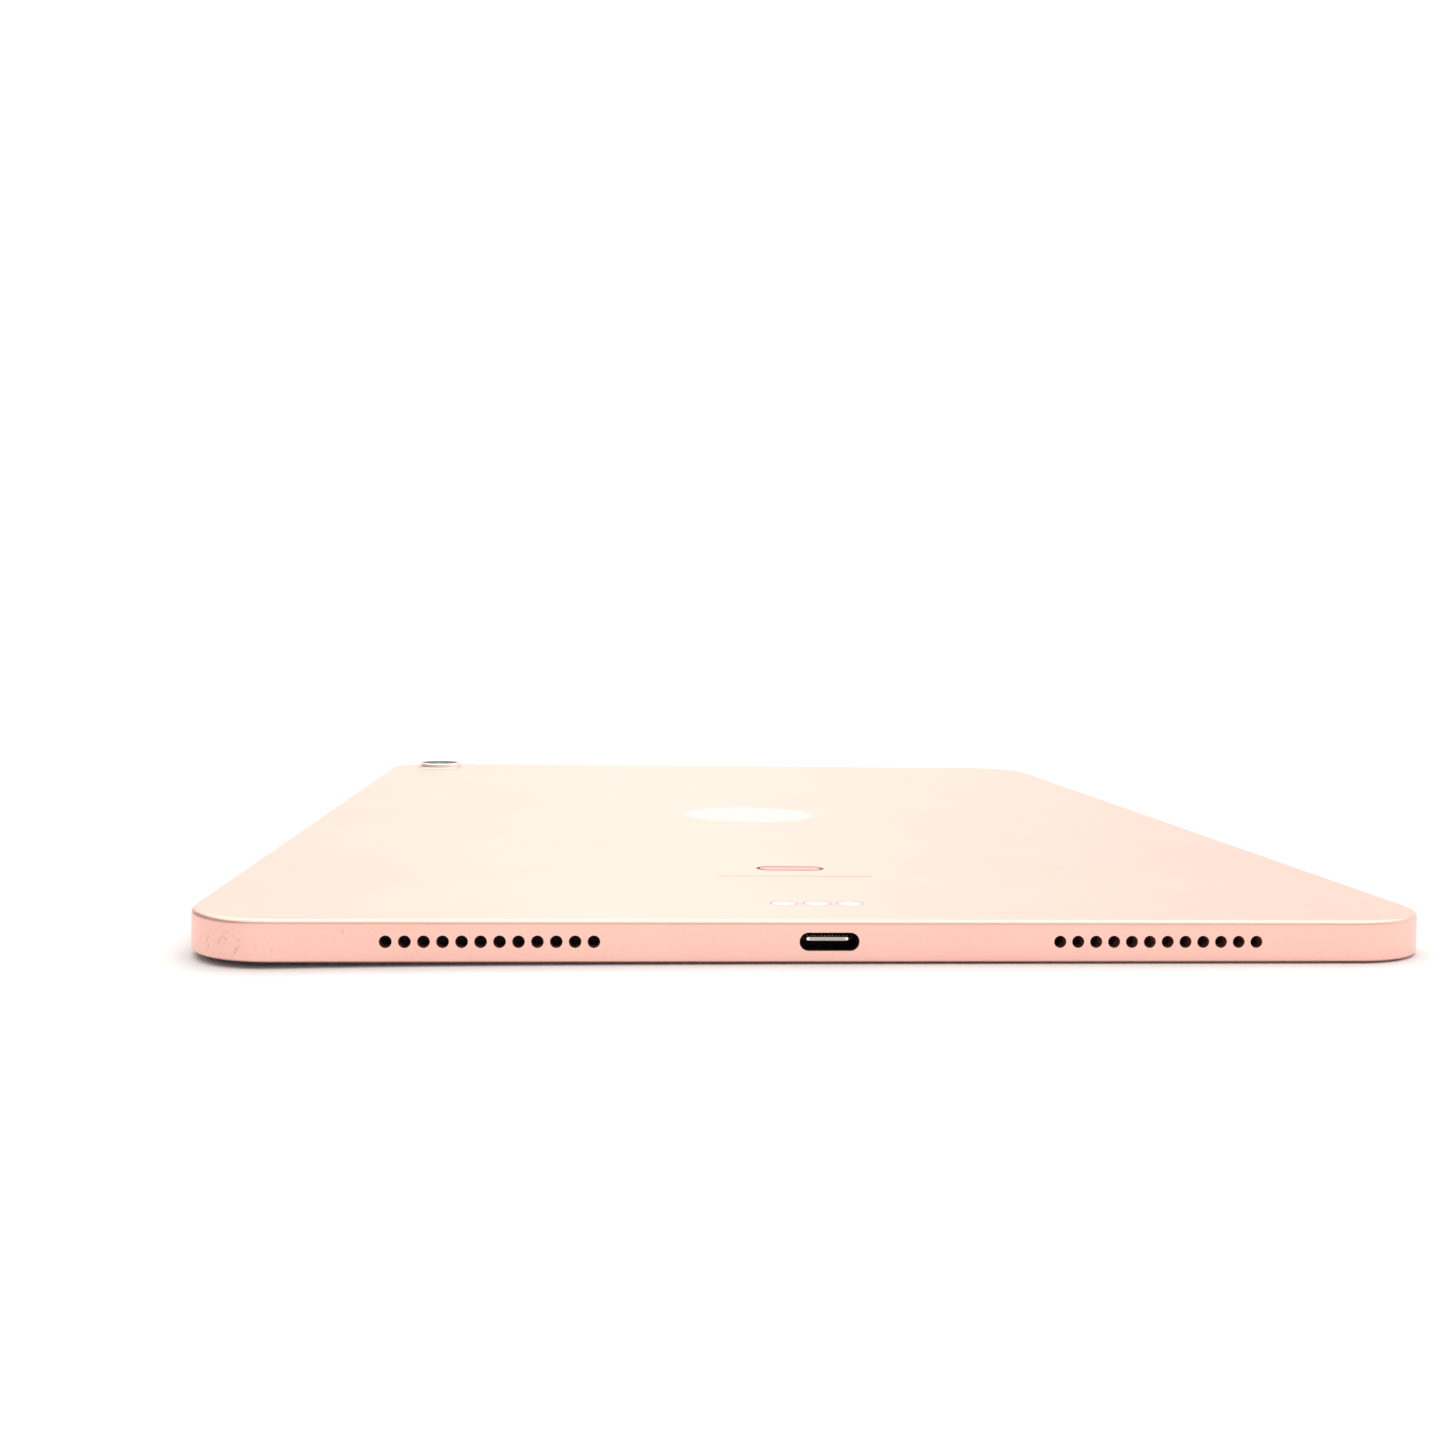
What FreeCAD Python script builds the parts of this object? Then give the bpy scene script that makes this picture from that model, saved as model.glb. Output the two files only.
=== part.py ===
"""Tablet computer, built as the separate pieces that it comes apart into on a bench.

The row frame: +Z is the outward normal of the aluminium back, +Y points to the end with the rear
camera, and +X completes the set. The origin is the centre of the front glass's outer face, so the
tablet lies face down on Z = 0. Every length is in millimetres, and each piece is one labelled
object whose sizes are bound to the cells of the sheet "dims".

"Left" is the side at -X, "lower" the end at -Y, and "front" means nearer the screen, so lower in Z.
"""

import FreeCAD
import Part
import math
import os
import re
import Sketcher

OUT_FOLDER = "parts"
FULL_TURN = 360
UP = FreeCAD.Vector(0, 0, 1)
CUTS = ("PartDesign::Pocket", "PartDesign::Groove", "PartDesign::MultiTransform")

# alias, value, what it measures
DIMENSIONS = [
    # the housing
    ("body_length", 247.6, "housing, along Y"),
    ("body_width", 178.5, "housing, along X"),
    ("body_top", 6.1, "outer face of the back"),
    ("rim_bottom", 0.25, "front end of the side walls"),
    ("corner_radius", 13.1, "corners seen from the back"),
    ("edge_radius", 0.75, "rounding between the side walls and the back"),
    ("rim_chamfer", 0.2, "chamfer on the outer front edge of the side walls"),
    ("wall", 2.2, "thickness of the side walls"),
    ("rim_wall", 1.0, "thickness of the rim around the glass"),
    ("back_wall", 0.8, "thickness of the back"),
    ("wall_middle", 3.1, "height of the holes, slots and buttons in the side walls"),
    ("run_out", 1.0, "how far a cutting sketch stands clear of what it cuts"),
    ("slip", 0.05, "clearance around an inserted piece"),
    ("glue_gap", 0.02, "clearance around a glued or moulded piece"),
    ("tray_gap", 0.19, "clearance between the display and what lies behind it"),
    # the display
    ("glass_thick", 0.6, "cover glass"),
    ("glass_edge", 0.25, "rounding of the cover glass's outer edge"),
    ("gasket_thick", 0.2, "frame of adhesive between the glass and its ledge"),
    ("gasket_width", 1.1, "width of that frame"),
    ("bond_thick", 0.06, "mask and clear adhesive behind the glass"),
    ("screen_length", 227.1, "lit area, along Y"),
    ("screen_width", 157.8, "lit area, along X"),
    ("screen_radius", 3.46, "corners of the lit area"),
    ("cell_length", 230.0, "liquid crystal cell, along Y"),
    ("cell_width", 160.4, "liquid crystal cell, along X"),
    ("cell_sheet", 0.35, "each of the cell's two glass sheets"),
    ("driver_ledge", 1.4, "how much shorter the front sheet is"),
    ("tray_sheet", 0.15, "steel of the display's tray"),
    ("tray_back", 2.31, "back of the tray"),
    ("tray_radius", 1.5, "corners of the tray"),
    ("guide_gap", 0.2, "clearance around the light guide"),
    ("led_width", 1.2, "room for the lamps beside the light guide"),
    ("led_height", 0.6, "the lamps' narrow circuit"),
    ("led_margin", 4.0, "how far that circuit stays from the tray's ends"),
    ("led_count", 40, "lamps on it"),
    ("lamp_length", 3.0, "a lamp, along Y"),
    ("lamp_depth", 0.9, "a lamp, along X"),
    ("lamp_height", 0.5, "a lamp, along Z"),
    ("flex_thick", 0.12, "flexible circuits"),
    ("display_flex_side", -17.0, "left edge of the display's circuit"),
    ("display_flex_width", 11.0, "that circuit"),
    ("display_flex_reach", 44.0, "how far it runs back under the tray"),
    # speakers
    ("grille_count", 12, "holes in one grille"),
    ("grille_pitch", 2.5635, "distance between two holes"),
    ("grille_start", 32.5, "first hole from the middle"),
    ("grille_radius", 0.86, "radius of a hole"),
    ("speaker_inner", 29.5, "speaker's side nearer the middle"),
    ("speaker_width", 33.7, "speaker, along X"),
    ("speaker_depth", 29.4, "speaker with its ears, along Y"),
    ("speaker_corner", 0.8, "upright corners of a speaker"),
    ("speaker_ear", 4.2, "how far the ears reach out"),
    ("ear_overlap", 0.8, "how far an ear is moulded into its box"),
    ("ear_screw", 1.8, "a screw from the end of its ear"),
    ("nose_depth", 6.0, "deep part of the speaker, beside the wall"),
    ("nose_bottom", 1.2, "front of the speaker's nose"),
    ("mouth_height", 2.4, "mouth behind the grille"),
    ("mouth_margin", 1.4, "how far the mouth reaches past the last hole"),
    ("mouth_depth", 4.0, "depth of that mouth"),
    ("mesh_margin", 0.95, "how far the dust mesh reaches past the last hole"),
    ("mesh_height", 1.8, "dust mesh"),
    ("mesh_thick", 0.1, "dust mesh"),
    ("cone_radius", 9.5, "ring of the speaker's cone"),
    ("cone_wall_gap", 15.5, "middle of the cone from the speaker's wall side"),
    ("cone_seat", 0.7, "depth of the recess for the cone"),
    ("cone_gap", 0.1, "clearance around the cone"),
    ("cone_thick", 0.25, "the cone's ring"),
    ("dome_radius", 5.7, "dome in the middle of the cone"),
    ("dome_rise", 0.3, "how far the dome stands out of the ring"),
    # charging port
    ("port_mouth_width", 8.36, "opening in the wall's skin"),
    ("port_mouth_height", 2.56, "opening in the wall's skin"),
    ("port_skin", 0.55, "thickness of the skin around the opening"),
    ("port_inner_width", 8.34, "inside of the shell"),
    ("port_inner_height", 2.54, "inside of the shell"),
    ("port_shell_thick", 0.3, "wall of the shell"),
    ("port_depth", 6.2, "free depth inside the shell"),
    ("port_plug_thick", 1.1, "block that closes the shell"),
    ("tongue_width", 6.69, "tongue, along X"),
    ("tongue_thick", 0.7, "tongue, along Z"),
    ("tongue_length", 4.6, "tongue, along Y"),
    ("tongue_root", 0.2, "how far the tongue is moulded into the block"),
    ("tongue_corner", 0.38, "chamfer at each side of the tongue's tip"),
    ("tongue_lip", 0.08, "chamfer along the tongue's tip"),
    ("pin_count", 12, "contacts on each side of the tongue"),
    ("pin_pitch", 0.5, "distance between two contacts"),
    ("pin_width", 0.26, "width of a contact"),
    ("pin_length", 3.2, "length of a contact"),
    ("pin_setback", 0.5, "a contact's end from the tongue's tip"),
    ("pin_thick", 0.05, "how far a contact stands out of the tongue"),
    ("seal_width", 0.65, "soft ring around the shell, at its sides"),
    ("seal_height", 0.5, "soft ring, above and below"),
    ("seal_thick", 0.6, "soft ring, along Y"),
    ("strap_sheet", 0.3, "steel strap over the shell"),
    ("strap_gap", 0.1, "clearance between strap and shell"),
    ("strap_start", 1.9, "strap's distance from the wall"),
    ("strap_width", 3.4, "strap, along Y"),
    ("strap_reach", 9.2, "end of the strap's ears"),
    ("strap_screw_x", 7.2, "screw from the middle"),
    ("port_flex_width", 8.0, "port's circuit"),
    ("port_flex_length", 46.0, "port's circuit"),
    ("port_flex_bottom", 4.75, "port's circuit"),
    # contacts in the back for a keyboard
    ("dock_y", -110.2, "row of three contacts"),
    ("dock_pitch", 4.88, "distance between two contacts"),
    ("dock_radius", 1.85, "radius of a contact"),
    ("dock_ring", 0.25, "insulating ring around a contact"),
    ("dock_bottom", 4.9, "front end of a contact"),
    ("dock_plate", 0.35, "moulded plate inside the back"),
    ("dock_plate_width", 16.4, "that plate"),
    ("dock_plate_length", 6.4, "that plate"),
    # rear camera
    ("camera_x", -76.3, "optical axis"),
    ("camera_y", 110.9, "optical axis"),
    ("bump_height", 1.4, "how far the camera stands out of the back"),
    ("bump_base", 6.0, "radius of the bump where it meets the back"),
    ("bump_top", 5.55, "radius of the bump at its top"),
    ("bump_cove", 0.75, "hollow rounding at the foot of the bump"),
    ("bump_round", 0.38, "rounding at the top of the bump"),
    ("window_radius", 4.8, "lens window"),
    ("window_thick", 0.5, "lens window"),
    ("window_inset", 0.05, "how far the window lies below the bump's top"),
    ("window_chamfer", 0.08, "window's outer edge"),
    ("mask_opening", 2.3, "clear hole in the print behind the window"),
    ("mask_thick", 0.15, "that print with its adhesive"),
    ("barrel_bore", 4.2, "bore through the back for the barrel"),
    ("barrel_radius", 3.3, "lens barrel"),
    ("barrel_bottom", 4.1, "back end of the barrel, over the sensor"),
    ("barrel_top", 6.3, "outer end of the barrel at rest"),
    ("barrel_chamfer", 0.5, "barrel's outer edge"),
    ("barrel_opening", 1.4, "light path through the barrel"),
    ("lens_seat", 2.1, "radius of the lens's seat in the barrel"),
    ("lens_thick", 0.6, "depth of that seat"),
    ("lens_curve", 5.2, "radius of the lens's outer face"),
    ("camera_side", 9.6, "camera body, along X and Y"),
    ("camera_corner", 0.8, "upright corners of the camera body"),
    ("barrel_gap", 0.12, "clearance around the moving barrel"),
    ("clamp_edge", 4.85, "steel clamp's edge from the optical axis"),
    ("clamp_reach", 9.2, "clamp, along X"),
    ("clamp_depth", 10.2, "clamp, along Y"),
    ("camera_flex_width", 5.0, "camera's circuit"),
    ("camera_flex_bottom", 2.97, "camera's circuit"),
    ("camera_flex_drop", 25.4, "where it turns towards the board"),
    # front sensors
    ("front_camera_y", 118.4, "camera and light sensor above the screen"),
    ("front_camera_window", 1.6, "radius of the camera's hole in the print"),
    ("front_camera_side", 5.6, "its case"),
    ("front_camera_bottom", 1.6, "its case"),
    ("front_camera_thick", 2.6, "its case"),
    ("front_camera_lens", 1.9, "its lens"),
    ("sensor_x", 9.5, "light sensor"),
    ("sensor_window", 0.8, "radius of its hole in the print"),
    ("sensor_side", 2.1, "its case"),
    ("sensor_bottom", 0.7, "front of the light sensor and of the front camera's lens"),
    ("sensor_height", 0.8, "its case"),
    ("microphone_radius", 0.4, "hole for a microphone"),
    ("microphone_side", 3.0, "its case"),
    ("microphone_depth", 2.6, "its case"),
    ("microphone_thick", 1.0, "its case"),
    ("end_microphone_x", 14.0, "hole in the camera end's wall"),
    ("back_microphone_step", 10.8, "hole in the back, from the camera's axis"),
    # buttons
    ("button_travel", 0.25, "how far a button goes in"),
    ("button_proud", 0.42, "how far a button stands out at rest"),
    ("button_gap", 0.06, "clearance around a button"),
    ("button_skin", 1.2, "wall in front of a button's flange"),
    ("button_round", 0.25, "rounding of a button's outer face"),
    ("flange_thick", 0.45, "flange behind a button"),
    ("flange_lip", 0.6, "how far the flange reaches past the button"),
    ("power_x", -69.6, "middle of the button on the camera end"),
    ("power_length", 12.4, "that button"),
    ("power_height", 2.5, "that button"),
    ("print_rim", 0.5, "rim around the fingerprint sensor"),
    ("print_thick", 0.3, "fingerprint sensor"),
    ("volume_up_y", 95.8, "middle of the button"),
    ("volume_down_y", 82.3, "middle of the button"),
    ("volume_length", 10.4, "each volume button"),
    ("volume_height", 2.2, "each volume button"),
    ("switch_gap", 0.03, "clearance between a pressed button and its switch"),
    ("switch_dome", 0.25, "height of a switch's dome, pressed flat"),
    ("switch_radius", 1.2, "that dome"),
    ("switch_board", 0.3, "circuit under the dome"),
    ("switch_height", 2.8, "that circuit, along Z"),
    ("switch_margin", 4.5, "circuit past the middle of its button"),
    ("switch_plate", 0.3, "steel plate behind the circuit"),
    # stylus charger and magnets
    ("stylus_length", 46.0, "plastic window, along Y"),
    ("stylus_height", 2.6, "plastic window, along Z"),
    ("stylus_skin", 1.3, "thickness of the window's outer part"),
    ("stylus_lip", 0.8, "how far its inner part reaches past the outer one"),
    ("coil_length", 22.0, "winding"),
    ("coil_width", 2.6, "winding, along X"),
    ("coil_height", 3.0, "winding, along Z"),
    ("core_length", 36.0, "ferrite bar"),
    ("core_inset", 0.3, "how far the bar lies inside the winding's faces"),
    ("magnet_gap", 0.5, "between the magnets and the side wall"),
    ("magnet_height", 2.4, "every magnet"),
    ("cover_magnet_count", 12, "magnets for a folding cover"),
    ("cover_magnet_length", 11.0, "each of them"),
    ("cover_magnet_width", 4.4, "each of them"),
    ("cover_magnet_pitch", 17.0, "distance between two"),
    ("stylus_magnet_length", 9.0, "each stylus magnet"),
    ("stylus_magnet_width", 2.6, "each stylus magnet"),
    ("stylus_magnet_pitch", 11.0, "distance between two"),
    ("stylus_magnet_start", 30.5, "middle of the nearest one"),
    # mark on the back
    ("emblem_y", 2.0, "centre of the plain round inlay"),
    ("emblem_radius", 13.8, "radius of the inlay"),
    ("emblem_thick", 0.2, "thickness of the inlay"),
    # power and electronics
    ("battery_inner", 15.5, "cell's side nearer the middle"),
    ("battery_width", 64.0, "each cell, along X"),
    ("battery_length", 150.0, "each cell, along Y"),
    ("battery_y", -2.0, "middle of the cells"),
    ("battery_bottom", 2.55, "front face of the cells"),
    ("battery_thick", 2.6, "each cell"),
    ("battery_corner", 1.2, "upright corners of a cell"),
    ("battery_round", 1.0, "rounding along the cells' long edges"),
    ("terrace", 4.0, "thin end of a cell, with its tabs"),
    ("terrace_root", 2.0, "how far it reaches into the cell"),
    ("terrace_thick", 0.9, "that end"),
    ("terrace_bottom", 4.1, "that end"),
    ("terrace_margin", 3.0, "that end from each side of the cell"),
    ("guard_margin", 7.0, "protection circuit from each side of the cell"),
    ("guard_depth", 3.4, "protection circuit"),
    ("guard_thick", 0.9, "protection circuit"),
    ("tape_width", 8.0, "strip of adhesive under a cell"),
    ("tape_margin", 3.0, "that strip from each end of the cell"),
    ("tape_thick", 0.13, "that strip"),
    ("board_width", 25.0, "logic board"),
    ("board_length", 168.0, "logic board"),
    ("board_y", 14.0, "middle of the logic board"),
    ("board_corner", 1.5, "corners of the logic board"),
    ("board_bottom", 3.9, "front face of the board and of every screwed ear"),
    ("board_thick", 0.8, "the board and every screwed ear"),
    ("board_screw", 2.0, "screws from the board's long edges"),
    ("processor_side", 13.5, "processor package"),
    ("processor_y", 38.0, "processor package"),
    ("processor_thick", 0.9, "processor package"),
    ("chip_thick", 0.8, "every other package and socket"),
    ("can_width", 22.0, "shielding can"),
    ("can_length", 72.0, "shielding can"),
    ("can_y", 46.0, "shielding can"),
    ("can_height", 1.2, "shielding can"),
    ("can_sheet", 0.15, "steel of the can"),
    ("antenna_x", 73.5, "antenna carrier"),
    ("antenna_y", 109.0, "antenna carrier"),
    ("antenna_width", 15.0, "antenna carrier"),
    ("antenna_length", 13.0, "antenna carrier"),
    ("antenna_thick", 2.4, "antenna carrier"),
    ("screw_head", 1.0, "radius of a screw's head"),
    ("screw_head_thick", 0.35, "a screw's head"),
    ("screw_radius", 0.5, "a screw's shank"),
    ("screw_length", 1.3, "a screw's shank, below its head"),
    ("screw_slot", 0.25, "width of the slot in its head"),
    ("screw_slot_depth", 0.15, "depth of that slot"),
    ("standoff_radius", 1.6, "threaded standoff on the back"),
    ("ear_hole", 0.65, "hole for a screw in a board or ear"),
]
ALIASES = {alias for alias, _, _ in DIMENSIONS}

# name, along X, along Y, middle in X, middle in Y, on the logic board's front face
CHIPS = [
    ("memory_left", "7.5", "11", "-5.2", "58"),
    ("memory_right", "7.5", "11", "5.2", "58"),
    ("power_chip", "8", "8", "0", "22"),
    ("radio_chip", "9", "7", "0", "74"),
    ("audio_chip", "5", "5", "-5", "-8"),
    ("charge_chip", "6", "5", "4", "-24"),
    ("display_socket", "14", "2.2", "0", "-52"),
    ("battery_socket", "9", "2.6", "0", "-38"),
    ("camera_socket", "10", "2", "0", "88"),
]

SIDES = {"left": "-1", "right": "1"}
ENDS = {"lower": "-1", "upper": "1"}
DOCK_STEPS = ("-dock_pitch", "0", "dock_pitch")
EAR_SHARES = ("0.2", "0.8")
BOARD_SCREW_SHARES = ("-0.46", "-0.05", "0.46")
CAMERA = ("camera_x", "camera_y")
CAMERA_SCREWS = [("camera_x + 7.4", "camera_y - 3"), ("camera_x", "camera_y - 8.2")]

# levels and lengths that several pieces share
LEDGE = "(glass_thick + gasket_thick)"
CEILING = "(body_top - back_wall)"
BUMP_TOP = "(body_top + bump_height)"
WINDOW_BOTTOM = "(body_top + bump_height - window_inset - window_thick)"
EAR_TOP = "(board_bottom + board_thick)"
TRAY_FRONT = "(glass_thick + bond_thick + 2 * cell_sheet)"
BEHIND_TRAY = "(tray_back + tray_gap)"
FAR_FACE = "(body_length / 2)"
LEFT_FACE = "(-body_width / 2)"
END_INSIDE = "(body_length / 2 - wall - slip)"
SIDE_INSIDE = "(body_width / 2 - wall)"
GLASS_WIDTH = "(body_width - 2 * rim_wall - 2 * slip)"
GLASS_LENGTH = "(body_length - 2 * rim_wall - 2 * slip)"
GLASS_RADIUS = "(corner_radius - rim_wall - slip)"
GRILLE_SPAN = "(grille_pitch * (grille_count - 1))"
SHELL_FRONT = "(body_length / 2 - port_skin)"
SHELL_WIDTH = "(port_inner_width + 2 * port_shell_thick)"
SHELL_HEIGHT = "(port_inner_height + 2 * port_shell_thick)"
STRAP_MIDDLE = "(body_length / 2 - wall - strap_start - strap_width / 2)"
SWITCH_FACE = "(button_skin + slip + flange_thick + button_travel + switch_gap)"
SWITCH_BACK = f"({SWITCH_FACE} + switch_dome + switch_board)"

doc = FreeCAD.newDocument("tablet")
dims = doc.addObject("Spreadsheet::Sheet", "dims")
pieces = []


def fill_sheet():
    """Writes each driving dimension as plain text into the sheet, and names its cell."""
    for row, (alias, value, meaning) in enumerate(DIMENSIONS, start=1):
        dims.set(f"A{row}", alias)
        dims.set(f"B{row}", str(value))
        dims.set(f"C{row}", meaning)
        dims.setAlias(f"B{row}", alias)
    dims.recompute()


# ---------------------------------------------------------------- bindings


def linked(expression):
    """The expression with each alias looked up in the sheet."""
    return re.sub(
        r"[a-z][a-z0-9_]*",
        lambda found: f"dims.{found.group()}" if found.group() in ALIASES else found.group(),
        expression,
    )


def bind(thing, prop, expression):
    thing.setExpression(prop, linked(expression))


def number(expression):
    """The expression's value now, for a loop's count or a sketch's first guess."""
    return float(dims.evalExpression(linked(expression)))


def place(thing, x, y, z):
    for axis, expression in zip("xyz", (x, y, z)):
        bind(thing, f".Placement.Base.{axis}", expression)


def piece(thing, label):
    """Marks a document object as one of the tablet's pieces."""
    thing.Label = label
    pieces.append(thing)


# ---------------------------------------------------------------- sketches


def new_body(label):
    body = doc.addObject("PartDesign::Body", label + "_body")
    piece(body, label)
    return body


def origin_part(body, role):
    return next(part for part in body.Origin.OriginFeatures if part.Role == role)


def new_sketch(body, name, role, offset):
    """A sketch on one of the body's own origin planes, moved along the plane's normal by offset.

    The normals are +Z for XY_Plane, -Y for XZ_Plane and +X for YZ_Plane.
    """
    sketch = body.newObject("Sketcher::SketchObject", name)
    sketch.AttachmentSupport = [(origin_part(body, role), "")]
    sketch.MapMode = "FlatFace"
    bind(sketch, ".AttachmentOffset.Base.z", offset)
    return sketch


def constrain(sketch, kind, *arguments):
    sketch.addConstraint(Sketcher.Constraint(kind, *arguments))


def size(sketch, kind, *arguments):
    """Adds a constraint whose last argument is an expression, and binds it."""
    expression = arguments[-1]
    index = sketch.addConstraint(Sketcher.Constraint(kind, *arguments[:-1], number(expression)))
    bind(sketch, f"Constraints[{index}]", expression)


def point(x, y):
    return FreeCAD.Vector(x, y, 0)


def line(start, end):
    return Part.LineSegment(start, end)


def arc(centre, radius, start, end):
    return Part.ArcOfCircle(Part.Circle(centre, UP, radius), start, end)


def circle(sketch, radius, x="0", y="0"):
    centre = point(number(x), number(y))
    index = sketch.addGeometry(Part.Circle(centre, UP, number(radius)))
    size(sketch, "Radius", index, radius)
    size(sketch, "DistanceX", -1, 1, index, 3, x)
    size(sketch, "DistanceY", -1, 1, index, 3, y)


def outline(sketch, corners):
    """A closed outline of straight lines through corners, each an (x, y) pair of expressions."""
    at = [point(number(x), number(y)) for x, y in corners]
    count = len(at)
    first = sketch.addGeometry([line(at[k], at[(k + 1) % count]) for k in range(count)])[0]
    for k, (x, y) in enumerate(corners):
        constrain(sketch, "Coincident", first + k, 2, first + (k + 1) % count, 1)
        size(sketch, "DistanceX", -1, 1, first + k, 1, x)
        size(sketch, "DistanceY", -1, 1, first + k, 1, y)


def rectangle(sketch, width, height, x="0", y="0"):
    """A rectangle centred on (x, y)."""
    left, right = f"{x} - ({width}) / 2", f"{x} + ({width}) / 2"
    low, high = f"{y} - ({height}) / 2", f"{y} + ({height}) / 2"
    outline(sketch, [(left, low), (right, low), (right, high), (left, high)])


def rounded_rectangle(sketch, width, height, radius, x="0", y="0"):
    """A rectangle centred on (x, y), with four tangent corner arcs."""
    w, h, r, cx, cy = (number(e) for e in (width, height, radius, x, y))
    quarter = math.pi / 2
    geometry = []
    for k, (right, up) in enumerate(((1, -1), (1, 1), (-1, 1), (-1, -1))):
        centre = point(cx + right * (w / 2 - r), cy + up * (h / 2 - r))
        along = point(math.cos(quarter * k), math.sin(quarter * k))
        outwards = point(math.sin(quarter * k), -math.cos(quarter * k))
        corner_start = centre + outwards * r
        geometry.append(line(corner_start - along * ((w, h)[k % 2] - 2 * r), corner_start))
        geometry.append(arc(centre, r, quarter * (k - 1), quarter * k))
    first = sketch.addGeometry(geometry)[0]
    for k in range(8):
        constrain(sketch, "Tangent", first + k, 2, first + (k + 1) % 8, 1)
    for k in range(4):
        constrain(sketch, "Vertical" if k % 2 else "Horizontal", first + 2 * k)
    for k in (3, 5, 7):
        constrain(sketch, "Equal", first + 1, first + k)
    size(sketch, "Radius", first + 1, radius)
    size(sketch, "DistanceX", first + 6, 1, first + 2, 1, width)
    size(sketch, "DistanceY", first, 1, first + 4, 1, height)
    size(sketch, "DistanceX", -1, 1, first + 2, 1, f"{x} + ({width}) / 2")
    size(sketch, "DistanceY", -1, 1, first + 4, 1, f"{y} + ({height}) / 2")


def stadium(sketch, length, height, x="0", y="0"):
    """A slot with round ends, centred on (x, y), its length along the sketch's X."""
    w, h, cx, cy = (number(e) for e in (length, height, x, y))
    half, r, quarter = (w - h) / 2, h / 2, math.pi / 2
    first = sketch.addGeometry(
        [
            line(point(cx - half, cy - r), point(cx + half, cy - r)),
            arc(point(cx + half, cy), r, -quarter, quarter),
            line(point(cx + half, cy + r), point(cx - half, cy + r)),
            arc(point(cx - half, cy), r, quarter, 3 * quarter),
        ]
    )[0]
    for k in range(4):
        constrain(sketch, "Tangent", first + k, 2, first + (k + 1) % 4, 1)
    constrain(sketch, "Horizontal", first)
    constrain(sketch, "Equal", first + 1, first + 3)
    size(sketch, "Radius", first + 1, f"({height}) / 2")
    size(sketch, "DistanceX", first + 3, 3, first + 1, 3, f"({length}) - ({height})")
    size(sketch, "DistanceX", -1, 1, first + 1, 3, f"{x} + (({length}) - ({height})) / 2")
    size(sketch, "DistanceY", -1, 1, first + 1, 3, y)


# ---------------------------------------------------------------- features


def feature(body, kind, name, sketch, length, reverse):
    made = body.newObject(f"PartDesign::{kind}", name)
    made.Profile = sketch
    bind(made, "Length", length)
    made.Reversed = reverse
    doc.recompute()
    return made


def pad(body, sketch, length, reverse=False):
    """Adds the sketch's outline along its plane's normal, or against it if reverse."""
    return feature(body, "Pad", sketch.Name + "_pad", sketch, length, reverse)


def pocket(body, sketch, length, forward=False):
    """Cuts the sketch's outline against its plane's normal, or along it if forward."""
    return feature(body, "Pocket", sketch.Name + "_pocket", sketch, length, forward)


def revolve(body, sketch):
    """Turns the sketch's outline right round its own vertical axis."""
    made = body.newObject("PartDesign::Revolution", sketch.Name + "_turned")
    made.Profile = sketch
    made.ReferenceAxis = (sketch, ["V_Axis"])
    made.Angle = FULL_TURN
    doc.recompute()
    return made


def dress(body, kind, prop, base, amount, wanted):
    """A fillet or chamfer on the edges of base that the test accepts."""
    names = [f"Edge{k}" for k, edge in enumerate(base.Shape.Edges, start=1) if wanted(edge)]
    made = body.newObject(f"PartDesign::{kind}", f"{base.Name}_{kind.lower()}")
    made.Base = (base, names)
    bind(made, prop, amount)
    doc.recompute()
    return made


def fillet(body, base, radius, wanted):
    return dress(body, "Fillet", "Radius", base, radius, wanted)


def chamfer(body, base, amount, wanted):
    return dress(body, "Chamfer", "Size", base, amount, wanted)


def flat_at(axis, level):
    """A test for edges that lie wholly at one level along an axis."""
    at = number(level)

    def wanted(edge):
        box = edge.BoundBox
        low, high = getattr(box, axis + "Min"), getattr(box, axis + "Max")
        return abs(low - at) < 1e-3 and abs(high - at) < 1e-3

    return wanted


def ring_at(level, radius):
    """A test for the circular edges of one radius that lie at one height."""
    flat, wanted_radius = flat_at("Z", level), number(radius)

    def wanted(edge):
        round_edge = isinstance(edge.Curve, Part.Circle)
        return flat(edge) and round_edge and abs(edge.Curve.Radius - wanted_radius) < 1e-3

    return wanted


# ---------------------------------------------------------------- simple solids


def block(name, lengths, corner):
    """A Part::Box from its lowest corner."""
    box = doc.addObject("Part::Box", name)
    for prop, expression in zip(("Length", "Width", "Height"), lengths):
        bind(box, prop, expression)
    place(box, *corner)
    return box


def slab(name, lengths, centre, bottom):
    """A Part::Box centred on (x, y), from bottom up."""
    (w, d, _), (x, y) = lengths, centre
    return block(name, lengths, (f"{x} - ({w}) / 2", f"{y} - ({d}) / 2", bottom))


def drum(name, radius, height, centre, bottom):
    """A Part::Cylinder about a vertical axis, from bottom up."""
    cylinder = doc.addObject("Part::Cylinder", name)
    bind(cylinder, "Radius", radius)
    bind(cylinder, "Height", height)
    place(cylinder, *centre, bottom)
    return cylinder


def side_drum(name, radius, height, axis, start):
    """A Part::Cylinder from start, turned about axis so that it lies along X or Y."""
    cylinder = drum(name, radius, height, start[:2], start[2])
    cylinder.Placement.Rotation = FreeCAD.Rotation(axis, 90)
    return cylinder


def cut(name, base, tool):
    made = doc.addObject("Part::Cut", name)
    made.Base, made.Tool = base, tool
    return made


def fuse(name, *shapes):
    made = doc.addObject("Part::MultiFuse", name)
    made.Shapes = list(shapes)
    return made


def group(label, members):
    """Separate solids that share one node."""
    made = doc.addObject("Part::Compound", label + "_group")
    made.Links = members
    piece(made, label)


# ---------------------------------------------------------------- where things are


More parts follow.
